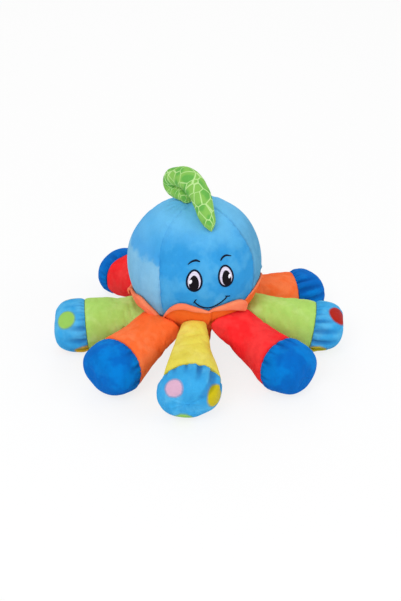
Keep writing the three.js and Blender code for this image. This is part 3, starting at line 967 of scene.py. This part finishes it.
# A leg's section at these shares of its length: its width in shares of the foot's, the heights of
# its top and its underside, and how square it is.
LEG_SHARES = [0, 0.05, 0.11, 0.18, 0.27, 0.40, 0.56, 0.75, 0.90, 1]
LEG_WIDTHS = [0.46, 0.50, 0.53, 0.56, 0.61, 0.69, 0.77, 0.865, 0.93, 0.955]
LEG_TOPS = [0.0600, 0.0670, 0.0705, 0.0712, 0.0700, 0.0672, 0.0645, 0.0622, 0.0610, 0.0600]
LEG_UNDERS = [0.050, 0.0445, 0.0390, 0.0340, 0.0285, 0.0215, 0.0145, 0.0070, 0.0022, 0.0008]
LEG_SQUARES = [0.45, 0.5, 0.56, 0.66, 0.76, 0.86, 0.9, 0.9, 0.9, 0.9]
# How each of the eight legs differs from that. share widens the root, aside moves it to the left,
# rise lifts it and swell says how much of its hump it has. round fills its section out, slim
# narrows the leg halfway, bow bends it to the left, and lean slants the root's upper side. drop
# sinks the root's upper left side, or its upper right side if it is negative. flare widens the leg
# beside the foot.
LEG_FORMS = {
    "share": [1.45, 1.68, 1.50, 0.78, 1.65, 1.42, 1.35, 1.40],
    "aside": [0.0023, 0.0008, 0.0085, 0.0018, -0.0125, -0.0040, 0.0055, 0],
    "rise": [0, 0, 0.004, 0.0078, 0.0115, 0.002, 0, 0],
    "swell": [0.85, -0.15, 1, 1, 1, 0.35, 0.45, 0.8],
    "round": [0, 0.2, 0, 0.5, 0, 0, 0, 0],
    "slim": [0.04, 0.06, 0.06, -0.14, 0.12, 0.04, 0.04, 0.04],
    "bow": [0, 0, -0.002, -0.0045, 0.003, 0, 0, 0],
    "lean": [0, 0, 0, 0.25, -0.1, 0, 0, 0],
    "drop": [0, 0, -0.003, 0, 0.0100, 0, 0, 0],
    "flare": [0, 0, 0, 0.09, 0, 0, 0, 0],
}
# The direction of the border between each leg and the next, in degrees.
BORDERS = [142, 194, 242, 268.5, 320, 358, 39, 88.75]
# Each foot's size, how far it is pulled in, and how far its seam is moved, tilted and skewed.
FOOT_SIZES = [0.95, 0.99, 1.0, 0.99, 0.965, 0.96, 0.90, 1.0]
FOOT_PULLS = [0, 0, 0.003, 0, 0.001, 0.001, 0, 0]
SEAM_SHIFTS = [0.009, -0.0005, 0.001, -0.002, -0.001, 0.0015, 0.003, 0.002]
SEAM_TILTS = [-0.05, -0.07, 0.08, 0.0, 0.1, -0.16, 0.0, 0.0]
SEAM_SKEWS = [0, 0, 0, -0.34, 0, 0, 0.32, 0]
SKEW_EASE = 0.008
FLARE_REACH = 0.026
# Beside the foot the sleeve's hem is tucked in, gathered and shaded.
HEM_TUCK = 0.02
HEM_REACH = 0.0012
HEM_SHADE_REACH = 0.0014
GATHERS_ROUND = 7
GATHER_LENGTH = 0.012
SLEEVE_LUMP = 0.0012
SLEEVE_LUMP_SIZE = 0.019
SLEEVE_DIMPLE = 0.0005
SLEEVE_DIMPLE_SIZE = 0.008
SLEEVE_PUCKER = 0.0009
SLEEVE_PUCKER_REACH = 0.007
# How the stuffing swells a sleeve: what stays still beside the root and the seam, how slack the
# cloth is beside the seam, the pressure, and how far a point may move.
SLEEVE_HELD_AT_ROOT = 0.012
SLEEVE_HELD_AT_SEAM = 0.004
SLEEVE_SLACK = 0.3
SLEEVE_SLACK_REACH = 0.012
SLEEVE_PRESSURE = 8.0
SLEEVE_MOVES_AT_MOST = 0.003
STUFFING_FRAMES = 20


class Leg:
    """One leg's own axes and sizes, read from its hinge and its foot in the frame."""

    def __init__(self, number):
        self.number = number
        self.body = f"leg_{number}"
        hinge = next(j for j in frame["joints"] if j["name"] == f"leg_{number}_root")
        self.direction = math.atan2(hinge["pos_m"][1], hinge["pos_m"][0])
        self.hinge_radius = math.hypot(*hinge["pos_m"][:2])
        self.hinge_height = hinge["pos_m"][2]
        self.out = np.array([math.cos(self.direction), math.sin(self.direction), 0])
        self.left = np.array([-self.out[1], self.out[0], 0])
        toe = max(
            Vector(self.out).dot(v.co) for v in frame["nodes"][f"leg_{number}_foot_cap"].data.vertices
        )
        here = number - 1
        self.form = {name: values[here] for name, values in LEG_FORMS.items()}
        self.borders = BORDERS[here - 1], BORDERS[here]
        self.middle = toe - TOE_LENGTH - FOOT_PULLS[here]
        self.shift, self.tilt, self.skew = SEAM_SHIFTS[here], SEAM_TILTS[here], SEAM_SKEWS[here]
        self.seam = self.middle - HEEL_LENGTH + self.shift
        self.foot_width = FOOT_WIDTH * FOOT_SIZES[here]
        self.foot_height = FOOT_HEIGHT * FOOT_SIZES[here]

    def place(self, along, aside, height):
        """Points this far out along the leg, this far to its left, and this high."""
        return along[:, None] * self.out + aside[:, None] * self.left + height[:, None] * [0, 0, 1]

    def aim(self, around, rise):
        """A direction out of the foot: around counts from the toe to the left, rise from level."""
        a, r = math.radians(around), math.radians(rise)
        flat = math.cos(a) * self.out + math.sin(a) * self.left
        return math.cos(r) * flat + np.array([0, 0, math.sin(r)])

    def tilted(self, along, aside, height, share):
        """The foot seam leans: a tilt brings its upper side nearer the root, a skew its right side.

        A negative skew takes its right side nearer the toe, and leaves its left side."""
        aside = aside if self.skew > 0 else (aside - np.hypot(aside, SKEW_EASE)) / 2
        return along - (self.tilt * (height - self.foot_height / 2) - self.skew * aside) * share

    def squeezed(self, points):
        """Presses the root against the collar and the neck, and against the legs at its sides."""
        away = points - HEAD_MIDDLE
        far = np.linalg.norm(away, axis=1)
        kept = PETAL_OUTSIDE + pressed(far - PETAL_OUTSIDE, PETAL_SOFTNESS)
        points = HEAD_MIDDLE + away * (kept / far)[:, None]
        ring = np.hypot(points[:, 0], points[:, 1])
        points[:, :2] *= (np.maximum(ring, NECK_OUTSIDE) / ring)[:, None]
        for border in self.borders:
            turn = math.radians(border)
            wall = np.array([-math.sin(turn), math.cos(turn), 0])
            wall = wall if wall @ self.out > 0 else -wall
            clear = points @ wall
            kept = LEG_CLEARANCE + pressed(clear - LEG_CLEARANCE, LEG_SOFTNESS)
            points = points + (kept - clear)[:, None] * wall
        return points


legs = [Leg(number) for number in range(1, 9)]


def squared(wave, power):
    """A sine or cosine whose section is a little fuller than an ellipse."""
    return np.sign(wave) * np.abs(wave) ** power


def marked(piece, name):
    """Reads back the numbers that mark wrote."""
    values = np.empty(len(piece.data.vertices))
    piece.data.attributes[name].data.foreach_get("value", values)
    return values


def plump(piece, held, loose, pressure, cap):
    """Stuffs a sewn piece: it is swollen as cloth, while held keeps its seams still.

    loose says where the cloth is longer than its seam, which makes it pucker. No point moves
    further than cap."""
    before = places(piece)
    for name, weights in (("held", held), ("loose", loose)):
        group = piece.vertex_groups.new(name=name)
        for index, weight in enumerate(np.clip(weights, 0, 1)):
            group.add([index], float(weight), "REPLACE")
    choose(piece)
    stuffing = piece.modifiers.new("Stuffing", "CLOTH")
    cloth = stuffing.settings
    cloth.vertex_group_mass = "held"
    cloth.vertex_group_shrink = "loose"
    cloth.shrink_min = -0.01
    cloth.shrink_max = -0.16
    cloth.use_pressure = True
    cloth.uniform_pressure_force = pressure
    cloth.bending_stiffness = 0.2
    cloth.effector_weights.gravity = 0
    stuffing.point_cache.frame_end = STUFFING_FRAMES
    for number in range(1, STUFFING_FRAMES + 1):
        bpy.context.scene.frame_set(number)
    bpy.ops.object.modifier_apply(modifier=stuffing.name)
    bpy.context.scene.frame_set(1)
    moved = places(piece) - before
    far = np.linalg.norm(moved, axis=1)
    share = np.minimum(1, cap / np.maximum(far, 1e-9))
    sculpt(piece, lambda p: before + moved * share[:, None])


def add_sleeve(leg, finish):
    sleeve = flat_net(f"leg_{leg.number}_tube", SLEEVE_COLUMNS, SLEEVE_ROWS)
    form = leg.form

    def stuff(p):
        s = (p[:, 1] + 1) / 2
        turn = math.pi * p[:, 0]
        body = np.clip((s - ROOT_END_OF_NET) / BODY_OF_NET, 0, 1)
        start = np.clip(s / ROOT_END_OF_NET, 0, 1)
        end = np.clip((1 - s) / FOOT_END_OF_NET, 0, 1) ** 0.15
        full = start * end
        to_seam = (1 - body) * (leg.seam - leg.hinge_radius)
        ease = (1 - body) ** 1.6
        full_width = FOOT_WIDTH + (leg.foot_width - FOOT_WIDTH) * body
        width = through(LEG_WIDTHS, LEG_SHARES, body) * full_width / 2
        half_way = np.sin(math.pi * body)
        width = width * (1 + form["flare"] * np.exp(-to_seam / FLARE_REACH))
        width = width * (1 + (form["share"] - 1) * ease) * (1 - form["slim"] * half_way)
        tables = LEG_TOPS, LEG_UNDERS, LEG_SQUARES
        top, under, square = (through(table, LEG_SHARES, body) for table in tables)
        square = square + (1 - square) * form["round"] * np.clip(2 - 3 * body, 0, 2)
        swell = 1 + (form["swell"] - 1) * np.clip((0.95 - body) / 0.5, 0, 1)
        top = LEG_TOPS[0] + (top - LEG_TOPS[0]) * swell
        top = top + form["rise"] * (1 - body) ** 3 + (leg.foot_height - FOOT_HEIGHT) * body ** 2
        under = under + form["rise"] * (1 - body) ** 3
        edge = 1 - HEM_TUCK * np.exp(-to_seam / HEM_REACH)
        height = (top + under) / 2 + squared(np.sin(turn), square) * full * edge * (top - under) / 2
        aside = squared(np.cos(turn), square) * full * edge * width
        upper = np.clip((height - under) / (top - under), 0, 1)
        beside = np.clip(aside / width * np.sign(form["drop"]), 0, 1) ** 1.5
        height = height - abs(form["drop"]) * beside * upper * ease
        aside = aside + form["aside"] * ease + form["bow"] * half_way
        aside = aside + form["lean"] * (height - (top + under) / 2) * ease
        start_radius = leg.hinge_radius - ROOT_START
        along = start_radius + (leg.seam - SEAM_GAP - start_radius) * body
        along = leg.tilted(along, aside, height, np.clip((body - 0.35) / 0.65, 0, 1) ** 1.5)
        place = leg.place(along, aside, height)
        away = np.sin(turn)[:, None] * [0, 0, 1] + np.cos(turn)[:, None] * leg.left
        own = np.full_like(s, leg.number)
        gathers = np.stack([turn * GATHERS_ROUND, to_seam / GATHER_LENGTH, own], axis=1)
        pucker = lumps(gathers, 1.0) * np.exp(-to_seam / SLEEVE_PUCKER_REACH)
        soft = SLEEVE_LUMP * lumps(place, SLEEVE_LUMP_SIZE, leg.number)
        soft = soft + SLEEVE_DIMPLE * lumps(place, SLEEVE_DIMPLE_SIZE, leg.number)
        soft = soft * np.clip(body * 5, 0, 1) + SLEEVE_PUCKER * pucker
        # Painted shade beside the foot seam and in the puckers' hollows.
        paint_crease_shade(sleeve, 0.3 * np.exp(-to_seam / HEM_SHADE_REACH) - 0.25 * pucker)
        mark(sleeve, "along", np.where(full < 1, -0.01, body * (leg.seam - leg.hinge_radius)))
        mark(sleeve, "to_seam", to_seam * end)
        return place + away * (soft * full)[:, None]

    def settle(p):
        p = leg.squeezed(p)
        p[:, 2] = pressed(p[:, 2], FLOOR_SOFTNESS)
        return p

    sculpt(sleeve, stuff)
    close_up(sleeve)
    along, to_seam = marked(sleeve, "along"), marked(sleeve, "to_seam")
    held = np.maximum(1 - along / SLEEVE_HELD_AT_ROOT, 1 - to_seam / SLEEVE_HELD_AT_SEAM)
    loose = SLEEVE_SLACK * np.exp(-to_seam / SLEEVE_SLACK_REACH)
    plump(sleeve, held, loose, SLEEVE_PRESSURE, SLEEVE_MOVES_AT_MOST)
    modify(sleeve, "SUBSURF", levels=1, render_levels=1, use_limit_surface=False)
    sculpt(sleeve, settle)
    finish.on(sleeve)
    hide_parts(f"leg_{leg.number}_sleeve", f"leg_{leg.number}_filling")
    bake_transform(sleeve)


# Feet. Round caps of velour, larger than the tube's end and gathered onto it, so the seam throws
# pleats over the cap. Red and orange legs have plain dark blue feet. Green and yellow ones have
# light blue feet with printed dots.

FOOT_COLUMNS = 112
FOOT_ROWS = 52
# How far out from the foot's middle, and how wide there in shares of the foot's own width.
FOOT_PROFILE = [
    (-0.0076, 0.0), (-0.0078, 0.5), (-0.0080, 0.90), (-0.0074, 0.950), (-0.0045, 0.975),
    (0.0, 0.992), (0.006, 1.0), (0.013, 0.975), (0.0195, 0.91), (0.0248, 0.80), (0.0290, 0.63),
    (0.0313, 0.42), (0.0321, 0.2), (0.0323, 0.0),
]
FOOT_SQUARE = 0.94
FOOT_LEAN_REACH = 0.034
FOOT_LUMP = 0.0010
FOOT_LUMP_SIZE = 0.021
SWELL_RADIUS = 0.033
SWELL_EASE = 0.01
FOOT_HELD_AT_SEAM = 0.003
FOOT_SLACK_REACH = 0.008
FOOT_PRESSURE = 12.0
FOOT_MOVES_AT_MOST = 0.004
FOOT_FLOOR_SOFTNESS = 0.0025
DENT_SPREAD = 0.12
# Small pleats all round, and broad folds: degrees round the seam, depth, length and breadth.
PLEATS = 34
PLEAT_DEPTHS = (0.0005, 0.0013)
PLEAT_LENGTHS = (0.005, 0.013)
PLEAT_BREADTH = 0.046
# On the heel a pleat or fold begins at this share of the foot's size, and is full so much further.
PLEAT_BEGINS = (0.75, 0.15)
FOLD_BEGINS = (0.35, 0.35)
RIDGE_SHARE = 0.35
FOLD_EASE = 0.002
FOLD_SHADE_DEPTH = 0.0013
FOOT_SEAM_SHADE = 0.0010
FOOT_PUFF = 0.0007
FOOT_PUFF_AT = 0.006
BROAD_FOLDS = {
    1: [(120, 0.0018, 0.012, 0.10), (60, 0.0018, 0.012, 0.09)],
    2: [(24, 0.0022, 0.016, 0.07), (0, 0.0026, 0.018, 0.08), (-26, 0.0022, 0.016, 0.07)],
    3: [(20, 0.0018, 0.012, 0.07), (48, 0.0016, 0.010, 0.07), (-10, 0.0018, 0.012, 0.07)],
    4: [(68, 0.0040, 0.020, 0.08), (38, 0.0044, 0.036, 0.10), (98, 0.0016, 0.012, 0.07),
        (122, 0.0014, 0.012, 0.06), (14, 0.0020, 0.016, 0.07)],
    5: [(98, 0.0022, 0.012, 0.09), (150, 0.0016, 0.012, 0.08), (74, 0.0018, 0.011, 0.07)],
    6: [(136, 0.0022, 0.020, 0.06), (158, 0.0028, 0.024, 0.07), (182, 0.0030, 0.024, 0.07),
        (204, 0.0026, 0.022, 0.07)],
    7: [(118, 0.0020, 0.020, 0.06), (142, 0.0024, 0.026, 0.07), (166, 0.0026, 0.028, 0.07),
        (190, 0.0026, 0.026, 0.07), (214, 0.0024, 0.024, 0.07)],
    8: [(70, 0.0024, 0.016, 0.09), (110, 0.0026, 0.018, 0.09)],
}
# Where each foot is dented, or swollen if it is negative: degrees from the toe to the left and
# up, and the depth.
FOOT_DENTS = {
    1: [(60, 30, 0.0015)],
    2: [(-20, -45, 0.0025), (0, 42, 0.0025)],
    3: [(-48, -35, 0.0035), (-10, 64, -0.0025), (40, -50, 0.0015)],
    4: [(42, -40, 0.0042), (-40, -48, 0.0018)],
    5: [(-60, -40, 0.0020), (50, -30, 0.0018), (150, 55, -0.0028)],
    6: [(-16, -42, 0.0070), (-30, 20, -0.0010), (-75, -55, 0.0034)],
    7: [(0, -30, 0.0015)],
    8: [(-30, -30, 0.0020)],
}


def add_foot(leg, finish):
    foot = flat_net(f"leg_{leg.number}_foot", FOOT_COLUMNS, FOOT_ROWS)
    shares = np.linspace(0, 1, len(FOOT_PROFILE))
    reaches, sizes = zip(*FOOT_PROFILE)
    tall, wide = leg.foot_height / 2, leg.foot_width / 2
    chance = np.random.default_rng(leg.number)
    folds = list(zip(
        (np.arange(PLEATS) + chance.uniform(-0.3, 0.3, PLEATS)) * 2 * math.pi / PLEATS,
        chance.uniform(*PLEAT_DEPTHS, PLEATS),
        chance.uniform(*PLEAT_LENGTHS, PLEATS),
        np.full(PLEATS, PLEAT_BREADTH),
    ))
    for turned, depth, length, breadth in BROAD_FOLDS[leg.number]:
        folds.append((math.radians(turned), depth, length, breadth))

    def turn_out(p):
        s = (p[:, 1] + 1) / 2
        turn = math.pi * p[:, 0]
        along = through(reaches, shares, s)
        along = along + leg.shift * (TOE_LENGTH - along) / (TOE_LENGTH + HEEL_LENGTH)
        size = np.clip(through(sizes, shares, s), 0, None)
        size[(s < 0.001) | (s > 0.999)] = 0
        past = np.clip(along + HEEL_LENGTH - leg.shift, 0, None)
        mark(foot, "past", past)
        mark(foot, "size", size)
        height = tall + squared(np.sin(turn), FOOT_SQUARE) * size * tall
        aside = squared(np.cos(turn), FOOT_SQUARE) * size * wide
        lean = np.clip(1 - past / FOOT_LEAN_REACH, 0, 1)
        out = leg.tilted(leg.middle + along, aside, height, lean)
        place = leg.place(out, aside, height)
        away = place - leg.place(np.array([leg.middle]), np.zeros(1), np.array([tall]))
        swell = FOOT_LUMP * lumps(place, FOOT_LUMP_SIZE, 5 + leg.number)
        aim = away / np.linalg.norm(away, axis=1)[:, None]
        for around, rise, depth in FOOT_DENTS[leg.number]:
            swell = swell - depth * np.exp(((aim @ leg.aim(around, rise)) - 1) / DENT_SPREAD)
        return place + away / SWELL_RADIUS * (swell * np.clip(past / SWELL_EASE, 0, 1))[:, None]

    def gather(p):
        past, size = marked(foot, "past"), marked(foot, "size")
        away = np.stack([p @ leg.left, p[:, 2] - tall], axis=1)
        turn = np.arctan2(away[:, 1], away[:, 0])
        away = away / np.maximum(np.linalg.norm(away, axis=1), 1e-6)[:, None]
        fold = np.zeros(len(p))
        for at, depth, length, breadth in folds:
            off = (turn - at + math.pi) % (2 * math.pi) - math.pi
            spread = breadth + past * (1.2 + 14 * breadth)
            valley = np.exp(-((off / spread) ** 2))
            ridges = np.exp(-(((np.abs(off) - 2 * spread) / spread) ** 2))
            begins, eases = PLEAT_BEGINS if breadth == PLEAT_BREADTH else FOLD_BEGINS
            fading = np.exp(-((past / length) ** 2)) * np.clip((size - begins) / eases, 0, 1)
            fold += depth * (valley - RIDGE_SHARE * ridges) * fading
        fold *= 1 - 0.6 * np.exp(-past / FOLD_EASE)
        # Painted shade in the folds' valleys and beside the seam.
        dark = 0.9 * np.tanh(fold / FOLD_SHADE_DEPTH) + 0.35 * np.exp(-past / FOOT_SEAM_SHADE)
        paint_crease_shade(foot, dark)
        fold = fold - FOOT_PUFF * np.exp(-((past - FOOT_PUFF_AT) / FOOT_PUFF_AT) ** 2)
        p = p - away[:, :1] * fold[:, None] * leg.left - away[:, 1:] * fold[:, None] * [0, 0, 1]
        p[:, 2] = pressed(p[:, 2], FOOT_FLOOR_SOFTNESS)
        return p

    sculpt(foot, turn_out)
    close_up(foot)
    past = marked(foot, "past")
    held, loose = 1 - past / FOOT_HELD_AT_SEAM, np.exp(-past / FOOT_SLACK_REACH)
    plump(foot, held, loose, FOOT_PRESSURE, FOOT_MOVES_AT_MOST)
    modify(foot, "SUBSURF", levels=1, render_levels=1, use_limit_surface=False)
    sculpt(foot, gather)
    finish.on(foot)
    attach(foot, leg.body)
    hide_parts(f"leg_{leg.number}_foot_cap")


PINK, YOLK, LIME = dye(220, 175, 201), dye(206, 188, 18), dye(154, 204, 94)
BRICK, AMBER = dye(178, 38, 22), dye(222, 178, 30)
# Each dot: degrees from the toe to the left and up, its half angle seen from the foot's middle,
# and its colour.
FOOT_DOTS = {
    2: [(53, 40, 18.5, LIME), (98, -30, 17, AMBER), (-26, -2, 19, PINK), (-66, 32, 18, YOLK),
        (-90, -32, 18, LIME), (24, -52, 18, BRICK)],
    4: [(-32, 32, 15.8, PINK), (57, 9, 20, YOLK), (-13, -44, 18, LIME), (-97, -14, 17, BRICK)],
    6: [(-22, 41, 20, BRICK), (-88, -30, 18, YOLK), (28, -4, 18, PINK), (72, 34, 18, LIME),
        (-30, -50, 18, LIME), (100, -26, 18, BRICK)],
    8: [(-30, 30, 18, YOLK), (42, 22, 19, PINK), (-4, -30, 18, BRICK), (-92, 6, 18, LIME),
        (88, -18, 18, YOLK), (18, 72, 18, LIME)],
}


def dotted_velour(leg):
    """Light blue velour with round dots, each a cone's cut out of the middle of the foot."""
    blue, pale = dye(60, 168, 228), dye(100, 192, 238)
    middle = tuple(leg.out * leg.middle + [0, 0, FOOT_HEIGHT / 2])

    def dots(finish, place, cloth):
        away = finish.node("ShaderNodeVectorMath", {"operation": "SUBTRACT"}, [finish.place(), middle])
        away = finish.node("ShaderNodeVectorMath", {"operation": "NORMALIZE"}, [away])
        fuzz = finish.noise(420, 2)
        for around, rise, size, colour in FOOT_DOTS[leg.number]:
            aim = tuple(leg.aim(around, rise))
            facing = finish.node("ShaderNodeVectorMath", {"operation": "DOT_PRODUCT"}, [away, aim], 1)
            edge = math.cos(math.radians(size))
            near = facing + fuzz * 0.012
            rim = tuple(c * 0.6 for c in colour)
            cloth = finish.mix(near.above(edge - 0.014, edge) * 0.5, cloth, rim)
            cloth = finish.mix(near.above(edge, edge + 0.016), cloth, colour)
        return cloth

    return velour(f"dotted_velour_{leg.number}", blue, pale, dye(24, 128, 204), seed=8.0, own=dots)


def add_legs():
    red = velour("red_velour", dye(252, 40, 44), dye(255, 72, 70), dye(214, 14, 24), seed=1.0)
    green = velour("green_velour", dye(178, 218, 108), dye(200, 230, 140), dye(146, 196, 74), seed=2.0)
    orange = velour(
        "orange_leg_velour", dye(255, 112, 52), dye(255, 136, 84), dye(240, 84, 24), seed=4.0
    )
    yellow = velour("yellow_velour", dye(232, 218, 86), dye(240, 228, 116), dye(208, 184, 52), seed=5.0)
    navy = velour("dark_blue_velour", dye(0, 106, 197), dye(0, 138, 224), dye(0, 82, 162), seed=6.0)
    sleeves = [
        ("red_plush", red), ("green_plush", green), ("orange_plush", orange), ("yellow_plush", yellow),
    ]
    for leg in legs:
        slot, finish = sleeves[(leg.number - 1) % 4]
        add_sleeve(leg, finish)
        if leg.number % 2:
            add_foot(leg, navy)
        else:
            add_foot(leg, dotted_velour(leg))


add_legs()


# Stage. A plain pale floor, soft light from above and from both sides, and the camera where the
# photograph was taken from.

FLOOR_SIZE = 8
FLOOR_HEIGHT = -0.0004
SKY_STRENGTH = 0.70
LOOKED_AT = Vector((0, 0, 0.09))
# Each lamp: its name, its width and power, and its place.
LAMPS = [
    ("key_lamp", 1.2, 18, (-0.9, -1.3, 1.7)),
    ("fill_lamp", 1.4, 6, (1.4, -1.0, 1.1)),
    ("rim_lamp", 1.2, 6, (0.2, 1.5, 1.5)),
]


def add_floor():
    bpy.ops.object.select_all(action="DESELECT")
    bpy.ops.mesh.primitive_plane_add(size=FLOOR_SIZE, location=(0, 0, FLOOR_HEIGHT))
    floor = named("floor")
    finish = Finish("pale_floor", 0.9)
    finish.surface.inputs["Base Color"].default_value = (0.9, 0.9, 0.9, 1)
    seen = finish.node("ShaderNodeLightPath", {}, (), "Is Camera Ray")
    lit = finish.tree.nodes.new("ShaderNodeEmission")
    both = finish.tree.nodes.new("ShaderNodeMixShader")
    lit.inputs["Strength"].default_value = 1.0
    finish.tree.links.new((seen * 0.8).socket, both.inputs[0])
    finish.tree.links.new(finish.surface.outputs[0], both.inputs[1])
    finish.tree.links.new(lit.outputs[0], both.inputs[2])
    output = finish.tree.nodes["Material Output"]
    finish.tree.links.new(both.outputs[0], output.inputs["Surface"])
    finish.on(floor)


def add_lamp(name, size, power, place):
    lamp = bpy.data.objects.new(name, bpy.data.lights.new(name, "AREA"))
    lamp.data.shape = "DISK"
    lamp.data.size = size
    lamp.data.energy = power
    lamp.location = place
    lamp.rotation_euler = (LOOKED_AT - Vector(place)).to_track_quat("-Z", "Y").to_euler()
    bpy.context.scene.collection.objects.link(lamp)


def add_sky():
    world = bpy.data.worlds.new("studio")
    world.use_nodes = True
    tree = world.node_tree
    sky = tree.nodes["Background"]
    sky.inputs["Color"].default_value = (1, 1, 1, 1)
    path = tree.nodes.new("ShaderNodeLightPath")
    white = tree.nodes.new("ShaderNodeBackground")
    white.inputs["Strength"].default_value = 1.0
    sky.inputs["Strength"].default_value = SKY_STRENGTH
    both = tree.nodes.new("ShaderNodeMixShader")
    tree.links.new(path.outputs["Is Camera Ray"], both.inputs[0])
    tree.links.new(sky.outputs[0], both.inputs[1])
    tree.links.new(white.outputs[0], both.inputs[2])
    tree.links.new(both.outputs[0], tree.nodes["World Output"].inputs["Surface"])
    bpy.context.scene.world = world


def add_camera():
    """The camera's place, focal length and shift were fitted to the photograph of 401 x 601 pixels."""
    wide, tall = 401, 601
    azimuth, elevation, distance = math.radians(-14.0), math.radians(30.09), 1.439
    focal_pixels = 1196
    centre_x, centre_y = 195.2, 277.9
    back = Vector((
        math.sin(azimuth) * math.cos(elevation),
        -math.cos(azimuth) * math.cos(elevation),
        math.sin(elevation),
    ))
    data = bpy.data.cameras.new("camera")
    camera = bpy.data.objects.new("camera", data)
    data.lens = focal_pixels / tall * data.sensor_width
    data.shift_x = (wide / 2 - centre_x) / tall
    data.shift_y = (centre_y - tall / 2) / tall
    camera.location = LOOKED_AT + back * distance
    camera.rotation_euler = (-back).to_track_quat("-Z", "Y").to_euler()
    bpy.context.scene.collection.objects.link(camera)
    bpy.context.scene.camera = camera


add_floor()
add_sky()
for name, size, power, place in LAMPS:
    add_lamp(name, size, power, place)
add_camera()
bpy.context.scene.view_settings.view_transform = "Standard"
